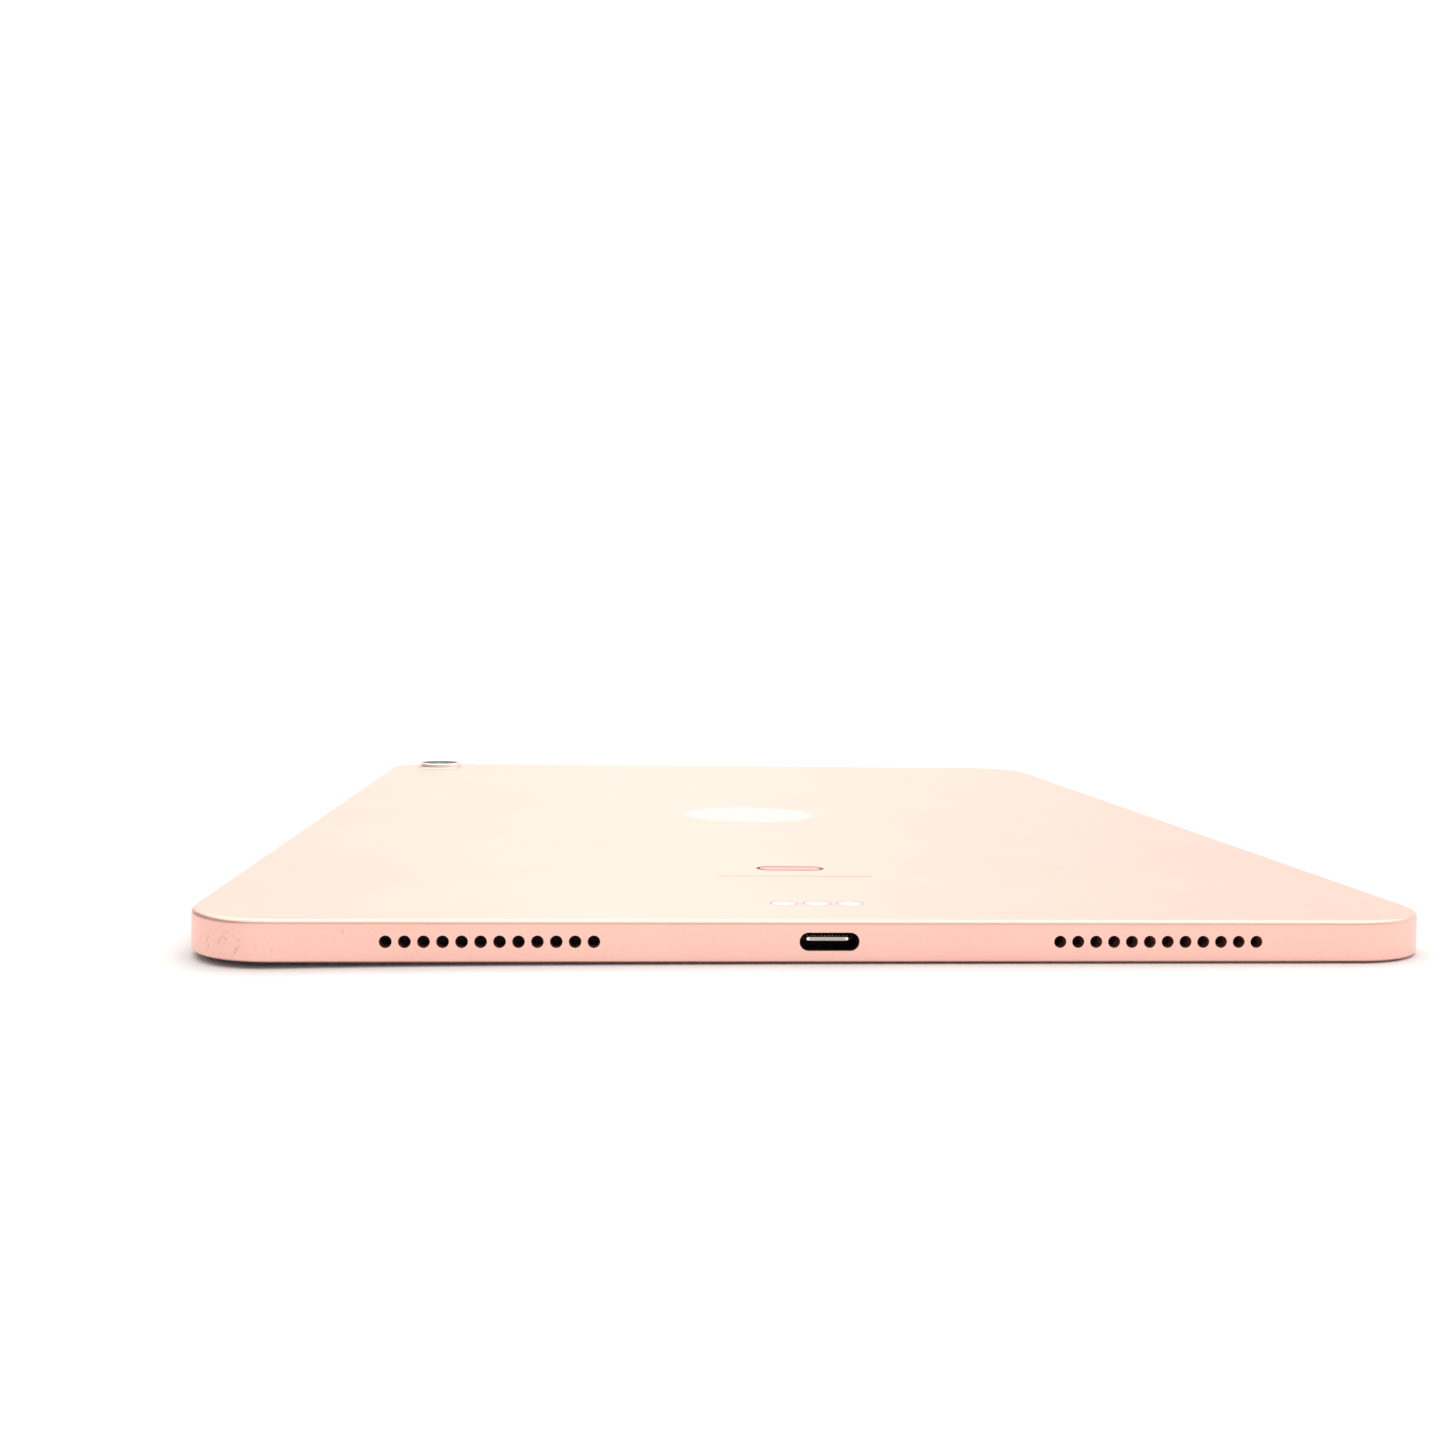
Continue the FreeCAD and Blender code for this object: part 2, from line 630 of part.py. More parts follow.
def speaker_middle(side):
    return f"{SIDES[side]} * (speaker_inner + speaker_width / 2)"


def grille_middle(side):
    return f"{SIDES[side]} * (grille_start + {GRILLE_SPAN} / 2)"


def cone_middle(end):
    return f"{ENDS[end]} * ({END_INSIDE} - cone_wall_gap)"


def ear_screw_places(end, side):
    return [
        (
            f"{SIDES[side]} * (speaker_inner + {share} * speaker_width)",
            f"{ENDS[end]} * ({END_INSIDE} - speaker_depth + ear_screw)",
        )
        for share in EAR_SHARES
    ]


def board_screw_places():
    return [
        (f"{sign} * (board_width / 2 - board_screw)", f"board_y + ({share}) * board_length")
        for sign in SIDES.values()
        for share in BOARD_SCREW_SHARES
    ]


def strap_screw_places():
    return [(f"{sign} * strap_screw_x", f"-{STRAP_MIDDLE}") for sign in SIDES.values()]


def screw_places():
    """Where a screw holds an ear or board against a standoff, as (x, y) expressions."""
    at = board_screw_places() + strap_screw_places() + CAMERA_SCREWS
    for end in ENDS:
        for side in SIDES:
            at += ear_screw_places(end, side)
    return at


# ---------------------------------------------------------------- the housing


def pocket_speaker_grilles(body):
    """One hole, repeated along the end wall and mirrored to all four grilles."""
    sketch = new_sketch(body, "grille_hole", "XZ_Plane", f"{FAR_FACE} + run_out")
    circle(sketch, "grille_radius", "grille_start", "wall_middle")
    hole = pocket(body, sketch, "wall + run_out * 2")
    whole = body.newObject("PartDesign::MultiTransform", "grilles")
    whole.Originals = [hole]
    row = body.newObject("PartDesign::LinearPattern", "grille_row")
    row.Direction = (origin_part(body, "X_Axis"), [""])
    bind(row, "Length", GRILLE_SPAN)
    bind(row, "Occurrences", "grille_count")
    across = body.newObject("PartDesign::Mirrored", "grille_across")
    across.MirrorPlane = (origin_part(body, "YZ_Plane"), [""])
    along = body.newObject("PartDesign::Mirrored", "grille_along")
    along.MirrorPlane = (origin_part(body, "XZ_Plane"), [""])
    whole.Transformations = [row, across, along]
    body.Tip = whole
    doc.recompute()


def pocket_stepped_slot(body, name, role, face, shape, skin, lip):
    """A round-ended slot through the wall, and behind its skin a recess wider by lip all round.

    role names the plane across the slot and face is where the wall's outer face lies along that
    plane's normal, which points into the tablet; shape is the slot's length, height and middle.
    """
    length, height, middle = shape
    outer = new_sketch(body, name, role, f"{face} - run_out")
    stadium(outer, length, height, middle, "wall_middle")
    pocket(body, outer, f"{skin} + run_out * 2", forward=True)
    inner = new_sketch(body, name + "_recess", role, f"{face} + {skin}")
    stadium(inner, f"{length} + 2 * {lip}", f"{height} + 2 * {lip}", middle, "wall_middle")
    pocket(body, inner, "wall", forward=True)


def pocket_port(body):
    """The charging port's mouth in the wall's skin, and the wider seat of its shell."""
    mouth = new_sketch(body, "port_mouth", "XZ_Plane", f"{FAR_FACE} + run_out")
    stadium(mouth, "port_mouth_width", "port_mouth_height", "0", "wall_middle")
    pocket(body, mouth, "run_out + port_skin * 2")
    seat = new_sketch(body, "port_seat", "XZ_Plane", SHELL_FRONT)
    stadium(
        seat, f"{SHELL_WIDTH} + 2 * slip", f"{SHELL_HEIGHT} + 2 * slip", "0", "wall_middle"
    )
    pocket(body, seat, "wall")


def add_camera_bump(body):
    """The raised round seat of the rear camera, with a hollow foot and a rounded top."""
    sketch = new_sketch(body, "bump", "XZ_Plane", "-camera_y")
    bind(sketch, ".AttachmentOffset.Base.x", "camera_x")
    buried = "body_top - back_wall / 2"
    outline(
        sketch,
        [
            ("0", buried),
            ("bump_base", buried),
            ("bump_base", "body_top"),
            ("bump_top", BUMP_TOP),
            ("0", BUMP_TOP),
        ],
    )
    bump = revolve(body, sketch)
    foot = fillet(body, bump, "bump_cove", ring_at("body_top", "bump_base"))
    fillet(body, foot, "bump_round", ring_at(BUMP_TOP, "bump_top"))
    seat = new_sketch(body, "window_seat", "XY_Plane", BUMP_TOP)
    circle(seat, "window_radius + slip", *CAMERA)
    pocket(body, seat, "window_inset + window_thick + mask_thick + slip")
    bore = new_sketch(body, "camera_bore", "XY_Plane", BUMP_TOP)
    circle(bore, "barrel_bore", *CAMERA)
    pocket(body, bore, "bump_height + back_wall + slip")


def pocket_back_holes(body):
    """Holes in the back for the contacts and a microphone, and the inlay's shallow seat."""
    holes = new_sketch(body, "back_holes", "XY_Plane", "body_top")
    for step in DOCK_STEPS:
        circle(holes, "dock_radius + dock_ring", step, "dock_y")
    circle(holes, "microphone_radius", "camera_x + back_microphone_step", "camera_y")
    pocket(body, holes, "back_wall + run_out")
    inlay = new_sketch(body, "emblem_seat", "XY_Plane", "body_top")
    circle(inlay, "emblem_radius", "0", "emblem_y")
    pocket(body, inlay, "emblem_thick")


def pocket_wall_openings(body):
    """Slots for the buttons and the stylus window, and a microphone hole, in the side walls."""
    lip = "(flange_lip + button_gap)"
    power = ("(power_length + 2 * button_gap)", "(power_height + 2 * button_gap)", "power_x")
    pocket_stepped_slot(
        body, "power_slot", "XZ_Plane", f"-{FAR_FACE}", power, "button_skin", lip
    )
    for name in ("volume_up", "volume_down"):
        volume = (
            "(volume_length + 2 * button_gap)", "(volume_height + 2 * button_gap)", name + "_y"
        )
        pocket_stepped_slot(
            body, name + "_slot", "YZ_Plane", LEFT_FACE, volume, "button_skin", lip
        )
    window = ("(stylus_length + 2 * slip)", "(stylus_height + 2 * slip)", "0")
    pocket_stepped_slot(
        body, "stylus_slot", "YZ_Plane", LEFT_FACE, window, "stylus_skin", "(stylus_lip + slip)"
    )
    hole = new_sketch(body, "microphone_hole", "XZ_Plane", f"-{FAR_FACE} - run_out")
    circle(hole, "microphone_radius", "end_microphone_x", "wall_middle")
    pocket(body, hole, "wall + run_out * 2", forward=True)


def rear_housing():
    """The back and the side walls, milled from one plate."""
    body = new_body("rear_housing")
    plate = new_sketch(body, "plate", "XY_Plane", "rim_bottom")
    rounded_rectangle(plate, "body_width", "body_length", "corner_radius")
    solid = pad(body, plate, "body_top - rim_bottom")
    rounded = fillet(body, solid, "edge_radius", flat_at("Z", "body_top"))
    chamfer(body, rounded, "rim_chamfer", flat_at("Z", "rim_bottom"))
    for name, inset, top in (("glass_seat", "rim_wall", LEDGE), ("cavity", "wall", CEILING)):
        sketch = new_sketch(body, name, "XY_Plane", "rim_bottom")
        rounded_rectangle(
            sketch, f"body_width - 2 * {inset}", f"body_length - 2 * {inset}",
            f"corner_radius - {inset}",
        )
        pocket(body, sketch, f"{top} - rim_bottom", forward=True)
    add_camera_bump(body)
    pocket_port(body)
    pocket_wall_openings(body)
    pocket_back_holes(body)
    pocket_speaker_grilles(body)


def rear_emblem():
    """A plain polished disc, let into the back."""
    disc = drum(
        "emblem", "emblem_radius - glue_gap", "emblem_thick", ("0", "emblem_y"),
        "body_top - emblem_thick",
    )
    piece(disc, "rear_emblem")


# ---------------------------------------------------------------- the display


def cover_glass():
    body = new_body("cover_glass")
    sketch = new_sketch(body, "glass", "XY_Plane", "0")
    rounded_rectangle(sketch, GLASS_WIDTH, GLASS_LENGTH, GLASS_RADIUS)
    sheet = pad(body, sketch, "glass_thick")
    fillet(body, sheet, "glass_edge", flat_at("Z", "0"))


def display_gasket():
    """The frame of adhesive that holds the glass on the housing's ledge."""
    body = new_body("display_gasket")
    sketch = new_sketch(body, "gasket", "XY_Plane", "glass_thick")
    rounded_rectangle(sketch, GLASS_WIDTH, GLASS_LENGTH, GLASS_RADIUS)
    rounded_rectangle(
        sketch, f"{GLASS_WIDTH} - 2 * gasket_width", f"{GLASS_LENGTH} - 2 * gasket_width",
        f"{GLASS_RADIUS} - gasket_width",
    )
    pad(body, sketch, "gasket_thick")


def bezel_mask():
    """The black print behind the glass, open at the screen, front camera and light sensor."""
    body = new_body("bezel_mask")
    sketch = new_sketch(body, "mask", "XY_Plane", "glass_thick")
    inset = "(gasket_width + slip)"
    rounded_rectangle(
        sketch, f"{GLASS_WIDTH} - 2 * {inset}", f"{GLASS_LENGTH} - 2 * {inset}",
        f"{GLASS_RADIUS} - {inset}",
    )
    rounded_rectangle(sketch, "screen_width", "screen_length", "screen_radius")
    circle(sketch, "front_camera_window", "0", "front_camera_y")
    circle(sketch, "sensor_window", "sensor_x", "front_camera_y")
    pad(body, sketch, "bond_thick")


def optical_bond():
    """The clear adhesive between the glass and the cell."""
    body = new_body("optical_bond")
    sketch = new_sketch(body, "bond", "XY_Plane", "glass_thick")
    rounded_rectangle(
        sketch, "screen_width - 2 * slip", "screen_length - 2 * slip", "screen_radius - slip"
    )
    pad(body, sketch, "bond_thick")


def display_cell():
    """The liquid crystal's two glass sheets: the rear one is longer, and carries the driver."""
    front = "glass_thick + bond_thick"
    short = ("cell_width", "cell_length - driver_ledge", "cell_sheet")
    piece(slab("lcd_front", short, ("0", "driver_ledge / 2"), front), "lcd_front_glass")
    whole = ("cell_width", "cell_length", "cell_sheet")
    piece(slab("lcd_rear", whole, ("0", "0"), f"{front} + cell_sheet"), "lcd_rear_glass")


def display_tray():
    """The shallow steel pan that holds the light guide."""
    body = new_body("display_tray")
    outer = new_sketch(body, "tray", "XY_Plane", TRAY_FRONT)
    rounded_rectangle(outer, "cell_width", "cell_length", "tray_radius")
    pad(body, outer, f"tray_back - {TRAY_FRONT}")
    inner = new_sketch(body, "tray_inside", "XY_Plane", TRAY_FRONT)
    rounded_rectangle(
        inner, "cell_width - 2 * tray_sheet", "cell_length - 2 * tray_sheet",
        "tray_radius - tray_sheet",
    )
    pocket(body, inner, f"tray_back - tray_sheet - {TRAY_FRONT}", forward=True)


def light_guide():
    """The clear plate that spreads the lamps' light over the cell."""
    body = new_body("light_guide")
    sketch = new_sketch(body, "guide", "XY_Plane", TRAY_FRONT)
    edge = "(tray_sheet + guide_gap)"
    rounded_rectangle(
        sketch, f"cell_width - 2 * {edge} - led_width", f"cell_length - 2 * {edge}",
        f"tray_radius - {edge}", "led_width / 2",
    )
    pad(body, sketch, f"tray_back - tray_sheet - slip - {TRAY_FRONT}")


def led_strip():
    """The row of lamps that shines into the light guide's long side, on its narrow circuit."""
    left = "(tray_sheet + guide_gap / 2 - cell_width / 2)"
    start = "(led_margin - cell_length / 2)"
    circuit = block(
        "led_circuit", ("flex_thick", f"-2 * {start}", "led_height"), (left, start, TRAY_FRONT)
    )
    pitch = f"((-2 * {start} - lamp_length - 2 * guide_gap) / (led_count - 1))"
    lamps = [
        block(
            f"lamp_{k}", ("lamp_depth", "lamp_length", "lamp_height"),
            (f"{left} + flex_thick", f"{start} + guide_gap + {k} * {pitch}", TRAY_FRONT),
        )
        for k in range(int(number("led_count")))
    ]
    piece(fuse("led_strip_whole", circuit, *lamps), "led_strip")


def display_flex():
    """The circuit from the cell's driver end, folded round the tray, to the logic board."""
    body = new_body("display_flex")
    sketch = new_sketch(body, "flex_side", "YZ_Plane", "display_flex_side")
    outside = "(-cell_length / 2 - tray_sheet)"
    root, inner_end = f"({outside} + tray_sheet - slip)", f"({outside} + display_flex_reach)"
    low, high = f"({TRAY_FRONT} - flex_thick)", "(tray_back + slip)"
    outline(
        sketch,
        [
            (root, low),
            (f"{outside} - flex_thick", low),
            (f"{outside} - flex_thick", f"{high} + flex_thick"),
            (inner_end, f"{high} + flex_thick"),
            (inner_end, high),
            (outside, high),
            (outside, f"{low} + flex_thick"),
            (root, f"{low} + flex_thick"),
        ],
    )
    pad(body, sketch, "display_flex_width")


# ---------------------------------------------------------------- the rear camera


def rear_lens_window():
    body = new_body("rear_lens_window")
    disc = new_sketch(body, "window", "XY_Plane", WINDOW_BOTTOM)
    circle(disc, "window_radius", *CAMERA)
    sheet = pad(body, disc, "window_thick")
    chamfer(body, sheet, "window_chamfer", flat_at("Z", f"{WINDOW_BOTTOM} + window_thick"))


def rear_lens_mask():
    """The black print behind the window, with its clear hole."""
    body = new_body("rear_lens_mask")
    ring = new_sketch(body, "lens_mask", "XY_Plane", f"{WINDOW_BOTTOM} - mask_thick")
    circle(ring, "window_radius", *CAMERA)
    circle(ring, "mask_opening", *CAMERA)
    pad(body, ring, "mask_thick")


def rear_lens_barrel():
    """The barrel that moves along the optical axis to focus."""
    body = new_body("rear_lens_barrel")
    profile = new_sketch(body, "barrel", "XZ_Plane", "-camera_y")
    bind(profile, ".AttachmentOffset.Base.x", "camera_x")
    outline(
        profile,
        [
            ("barrel_opening", "barrel_bottom"),
            ("barrel_radius", "barrel_bottom"),
            ("barrel_radius", "barrel_top - barrel_chamfer"),
            ("barrel_radius - barrel_chamfer", "barrel_top"),
            ("lens_seat", "barrel_top"),
            ("lens_seat", "barrel_top - lens_thick"),
            ("barrel_opening", "barrel_top - lens_thick"),
        ],
    )
    revolve(body, profile)


def rear_lens_element():
    """The outermost lens, domed, in the barrel's seat."""
    ball = doc.addObject("Part::Sphere", "lens_ball")
    bind(ball, "Radius", "lens_curve")
    place(ball, *CAMERA, "barrel_top - slip - lens_curve")
    blank = drum("lens_blank", "lens_seat - slip", "lens_thick", CAMERA, "barrel_top - lens_thick")
    element = doc.addObject("Part::Common", "lens_element")
    element.Base = ball
    element.Tool = blank
    piece(element, "rear_lens_element")


def rear_camera_body():
    """The square case around the barrel, with the sensor at the bottom of its well."""
    body = new_body("rear_camera_body")
    top = f"({CEILING} - slip)"
    base = new_sketch(body, "camera_base", "XY_Plane", BEHIND_TRAY)
    rounded_rectangle(base, "camera_side", "camera_side", "camera_corner", *CAMERA)
    pad(body, base, f"{top} - {BEHIND_TRAY}")
    well = new_sketch(body, "camera_well", "XY_Plane", top)
    circle(well, "barrel_radius + barrel_gap", *CAMERA)
    pocket(body, well, f"{top} - barrel_bottom + slip")


def rear_camera_bracket():
    """The flat steel clamp around two sides of the camera, screwed down at both ends."""
    body = new_body("rear_camera_bracket")
    plate = new_sketch(body, "clamp", "XY_Plane", "board_bottom")
    left, right, inner = "camera_x - clamp_edge", "camera_x + clamp_reach", "camera_x + clamp_edge"
    low, high, step = "camera_y - clamp_depth", "camera_y", "camera_y - clamp_edge"
    outline(
        plate, [(left, step), (left, low), (right, low), (right, high), (inner, high), (inner, step)]
    )
    for at in CAMERA_SCREWS:
        circle(plate, "ear_hole", *at)
    pad(body, plate, "board_thick")


def rear_camera_flex():
    """Runs from the camera, past the battery's end, to its socket on the logic board."""
    left, turn = "camera_x - camera_flex_width / 2", "camera_y - camera_flex_drop"
    down = block(
        "camera_flex_down", ("camera_flex_width", "camera_flex_drop - clamp_edge", "flex_thick"),
        (left, turn, "camera_flex_bottom"),
    )
    across = block(
        "camera_flex_across", ("camera_flex_width - camera_x", "camera_flex_width", "flex_thick"),
        (left, turn, "camera_flex_bottom"),
    )
    piece(fuse("camera_flex_whole", down, across), "rear_camera_flex")


# ---------------------------------------------------------------- front sensors, microphones


def front_camera():
    """The camera behind the border: a square case, and a lens that looks through the print."""
    at = ("0", "front_camera_y")
    case = slab(
        "front_camera_case", ("front_camera_side", "front_camera_side", "front_camera_thick"), at,
        "front_camera_bottom",
    )
    lens = drum(
        "front_camera_eye", "front_camera_lens", "front_camera_bottom - sensor_bottom + slip", at,
        "sensor_bottom",
    )
    piece(fuse("front_camera_whole", case, lens), "front_camera")


def light_sensor():
    case = slab(
        "light_sensor_case", ("sensor_side", "sensor_side", "sensor_height"),
        ("sensor_x", "front_camera_y"), "sensor_bottom",
    )
    piece(case, "light_sensor")


def microphones():
    """One behind the hole in the camera end, one behind the hole beside the rear camera."""
    at_end = slab(
        "end_microphone", ("microphone_side", "microphone_depth", "microphone_thick"),
        ("end_microphone_x", f"{END_INSIDE} - microphone_depth / 2"),
        "wall_middle - microphone_thick / 2",
    )
    at_back = slab(
        "back_microphone", ("microphone_side", "microphone_depth", "microphone_thick"),
        ("camera_x + back_microphone_step", "camera_y + microphone_depth / 4"),
        f"{CEILING} - microphone_thick",
    )
    group("microphones", [at_end, at_back])


# ---------------------------------------------------------------- speakers


def speaker(end, side):
    """A closed box with a deep nose at the wall, a mouth behind the grille, a seat for the cone."""
    body = new_body(f"speaker_{end}_{side}")
    name, sign, middle = f"{end}_{side}", ENDS[end], speaker_middle(side)
    top = f"({CEILING} - 2 * slip)"
    box_depth = "(speaker_depth - speaker_ear)"
    for part, bottom, depth in (("box", BEHIND_TRAY, box_depth), ("nose", "nose_bottom", "nose_depth")):
        sketch = new_sketch(body, f"{part}_{name}", "XY_Plane", bottom)
        y = f"{sign} * ({END_INSIDE} - {depth} / 2)"
        rounded_rectangle(sketch, "speaker_width", depth, "speaker_corner", middle, y)
        pad(body, sketch, f"{top} - {bottom}")
    ears = new_sketch(body, f"ears_{name}", "XY_Plane", "board_bottom")
    ear_depth = "(speaker_ear + ear_overlap)"
    ear_y = f"{sign} * ({END_INSIDE} - speaker_depth + {ear_depth} / 2)"
    rectangle(ears, "speaker_width - 2 * speaker_corner", ear_depth, middle, ear_y)
    pad(body, ears, "board_thick")
    holes = new_sketch(body, f"ear_holes_{name}", "XY_Plane", f"{EAR_TOP} + slip")
    for at in ear_screw_places(end, side):
        circle(holes, "ear_hole", *at)
    pocket(body, holes, "board_thick + 2 * slip")
    mouth = new_sketch(body, f"mouth_{name}", "XZ_Plane", f"{sign} * -1 * {END_INSIDE}")
    stadium(
        mouth, f"{GRILLE_SPAN} + 2 * mouth_margin", "mouth_height", grille_middle(side),
        "wall_middle",
    )
    pocket(body, mouth, "mouth_depth", forward=end == "upper")
    seat = new_sketch(body, f"cone_seat_{name}", "XY_Plane", BEHIND_TRAY)
    circle(seat, "cone_radius + cone_gap", middle, cone_middle(end))
    pocket(body, seat, "cone_seat", forward=True)


def speaker_cone(end, side):
    """A flat ring at the bottom of the seat, and the dome that stands out of it."""
    at, name = (speaker_middle(side), cone_middle(end)), f"{end}_{side}"
    ring_bottom = f"({BEHIND_TRAY} + cone_seat - cone_gap - cone_thick)"
    ring = drum(f"cone_ring_{name}", "cone_radius", "cone_thick", at, ring_bottom)
    dome = drum(
        f"cone_dome_{name}", "dome_radius", "cone_thick + dome_rise", at,
        f"{ring_bottom} - dome_rise",
    )
    return fuse(f"cone_{name}", ring, dome)


def speaker_mesh(end, side):
    """The dust mesh just inside a speaker's mouth."""
    length = f"({GRILLE_SPAN} + 2 * mesh_margin)"
    return slab(
        f"mesh_{end}_{side}", (length, "mesh_thick", "mesh_height"),
        (grille_middle(side), f"{ENDS[end]} * ({END_INSIDE} - mesh_thick)"),
        "wall_middle - mesh_height / 2",
    )


def speakers():
    pairs = [(end, side) for end in ENDS for side in SIDES]
    for end, side in pairs:
        speaker(end, side)
    group("speaker_drivers", [speaker_cone(end, side) for end, side in pairs])
    group("speaker_meshes", [speaker_mesh(end, side) for end, side in pairs])


# ---------------------------------------------------------------- the charging port


def port_shell():
    body = new_body("port_shell")
    sketch = new_sketch(body, "port_tube", "XZ_Plane", SHELL_FRONT)
    stadium(sketch, SHELL_WIDTH, SHELL_HEIGHT, "0", "wall_middle")
    stadium(sketch, "port_inner_width", "port_inner_height", "0", "wall_middle")
    pad(body, sketch, "port_depth + port_plug_thick", reverse=True)


def port_tongue():
    """The moulded block that closes the shell, with the thin tongue that carries the contacts."""
    body = new_body("port_tongue")
    plug = new_sketch(
        body, "port_plug", "XZ_Plane", f"{SHELL_FRONT} - port_depth - port_plug_thick"
    )
    stadium(
        plug, "port_inner_width - glue_gap", "port_inner_height - glue_gap", "0", "wall_middle"
    )
    pad(body, plug, "port_plug_thick")
    blade = new_sketch(body, "tongue", "XZ_Plane", f"{SHELL_FRONT} - port_depth - tongue_root")
    rectangle(blade, "tongue_width", "tongue_thick", "0", "wall_middle")
    tongue = pad(body, blade, "tongue_length + tongue_root")
    tip = flat_at("Y", f"port_depth - tongue_length - {SHELL_FRONT}")
    sides = chamfer(body, tongue, "tongue_corner", lambda edge: tip(edge) and is_upright(edge))
    chamfer(body, sides, "tongue_lip", lambda edge: tip(edge) and not is_upright(edge))


def is_upright(edge):
    return edge.BoundBox.ZLength > edge.BoundBox.XLength


def port_pins():
    """The contacts on both faces of the tongue."""
    start = f"(port_depth - tongue_length - {SHELL_FRONT} + pin_setback)"
    levels = {
        "rear": "wall_middle + tongue_thick / 2",
        "front": "wall_middle - tongue_thick / 2 - pin_thick",
    }
    members = [
        block(
            f"pin_{face}_{k}", ("pin_width", "pin_length", "pin_thick"),
            (f"({k} - (pin_count - 1) / 2) * pin_pitch - pin_width / 2", start, level),
        )
        for face, level in levels.items()
        for k in range(int(number("pin_count")))
    ]
    group("port_pins", members)


def port_gasket():
    """The soft ring around the shell, pressed against the inside of the wall."""
    body = new_body("port_gasket")
    sketch = new_sketch(body, "port_ring", "XZ_Plane", END_INSIDE)
    stadium(
        sketch, f"{SHELL_WIDTH} + 2 * seal_width", f"{SHELL_HEIGHT} + 2 * seal_height", "0",
        "wall_middle",
    )
    stadium(
        sketch, f"{SHELL_WIDTH} + 2 * glue_gap", f"{SHELL_HEIGHT} + 2 * glue_gap", "0",
        "wall_middle",
    )
    pad(body, sketch, "seal_thick", reverse=True)


def port_bracket():
    """The steel strap in front of the shell, with thick ears, screwed down on both sides."""
    body = new_body("port_bracket")
    sketch = new_sketch(body, "strap", "XZ_Plane", f"{STRAP_MIDDLE} + strap_width / 2")
    inner, low = f"({SHELL_WIDTH} / 2 + strap_gap)", f"(wall_middle - {SHELL_HEIGHT} / 2 - strap_gap)"
    right = [
        (f"{inner} + strap_sheet", f"{low} - strap_sheet"),
        (f"{inner} + strap_sheet", "board_bottom"),
        ("strap_reach", "board_bottom"),
        ("strap_reach", EAR_TOP),
        (inner, EAR_TOP),
        (inner, low),
    ]
    left = [(f"-({x})", z) for x, z in reversed(right)]
    outline(sketch, right + left)
    pad(body, sketch, "strap_width", reverse=True)
    holes = new_sketch(body, "strap_holes", "XY_Plane", f"{EAR_TOP} + slip")
    for at in strap_screw_places():
        circle(holes, "ear_hole", *at)
    pocket(body, holes, "board_thick + 2 * slip")


def port_flex():
    """The circuit that joins the port and the back contacts to the logic board."""
    start = f"(port_depth + port_plug_thick - {SHELL_FRONT} + slip)"
    strip = block(
        "port_flex_strip", ("port_flex_width", "port_flex_length", "flex_thick"),
        ("-port_flex_width / 2", start, "port_flex_bottom"),
    )
    pads = slab(
        "port_flex_pads", ("dock_plate_width - 1", "dock_plate_length - 1", "flex_thick"),
        ("0", "dock_y"), "port_flex_bottom",
    )
    piece(fuse("port_flex_whole", strip, pads), "port_flex")


def dock_contacts():
    """Three flat metal contacts, flush with the back."""
    members = [
        drum(f"dock_pin_{k}", "dock_radius", "body_top - dock_bottom", (step, "dock_y"),
             "dock_bottom")
        for k, step in enumerate(DOCK_STEPS)
    ]
    group("dock_contacts", members)


def dock_insulator():
    """The moulding that holds the contacts: a plate inside the back, with a ring in each hole."""
    body = new_body("dock_insulator")
    top = f"({CEILING} - glue_gap)"
    plate = new_sketch(body, "dock_back_plate", "XY_Plane", f"{top} - dock_plate")
    rounded_rectangle(
        plate, "dock_plate_width", "dock_plate_length", "board_corner", "0", "dock_y"
    )
    pad(body, plate, "dock_plate")
    rings = new_sketch(body, "dock_rings", "XY_Plane", top)
    bores = new_sketch(body, "dock_bores", "XY_Plane", "body_top + run_out")
    for step in DOCK_STEPS:
        circle(rings, "dock_radius + dock_ring - glue_gap", step, "dock_y")
        circle(bores, "dock_radius + glue_gap", step, "dock_y")
    pad(body, rings, "back_wall")
    pocket(body, bores, "back_wall + 2 * run_out")


# ---------------------------------------------------------------- buttons


def button(label, role, face, shape):
    """A round-ended cap through the wall, with a flange behind it that stops it coming out.

    role names the plane across the cap's travel and face is where the wall's outer face lies
    along that plane's normal, which points into the tablet; shape is length, height and middle.
    """
    length, height, middle = shape
    body = new_body(label)
    outer = new_sketch(body, label + "_cap", role, f"{face} - button_proud")
    stadium(outer, length, height, middle, "wall_middle")
    cap = pad(body, outer, "button_proud + button_skin + slip")
    along_x = role == "YZ_Plane"
    level = f"{face} - button_proud" if along_x else f"button_proud - {face}"
    fillet(body, cap, "button_round", flat_at("X" if along_x else "Y", level))
    flange = new_sketch(body, label + "_flange", role, f"{face} + button_skin + slip")
    stadium(
        flange, f"{length} + 2 * flange_lip", f"{height} + 2 * flange_lip", middle, "wall_middle"
    )
    pad(body, flange, "flange_thick")
    return body


def top_button():
    """The power button on the camera end, with a seat for its fingerprint sensor."""
    body = button(
        "top_button", "XZ_Plane", f"-{FAR_FACE}", ("power_length", "power_height", "power_x")
    )
    seat = new_sketch(body, "print_seat", "XZ_Plane", f"-{FAR_FACE} - button_proud")
    stadium(
        seat, "power_length - 2 * print_rim", "power_height - 2 * print_rim", "power_x",
        "wall_middle",
    )
    pocket(body, seat, "print_thick", forward=True)


def fingerprint_sensor():
    body = new_body("fingerprint_sensor")
    sheet = new_sketch(body, "print_sheet", "XZ_Plane", f"-{FAR_FACE} - button_proud")
    rim = "(print_rim + glue_gap)"
    stadium(
        sheet, f"power_length - 2 * {rim}", f"power_height - 2 * {rim}", "power_x", "wall_middle"
    )
    pad(body, sheet, "print_thick")


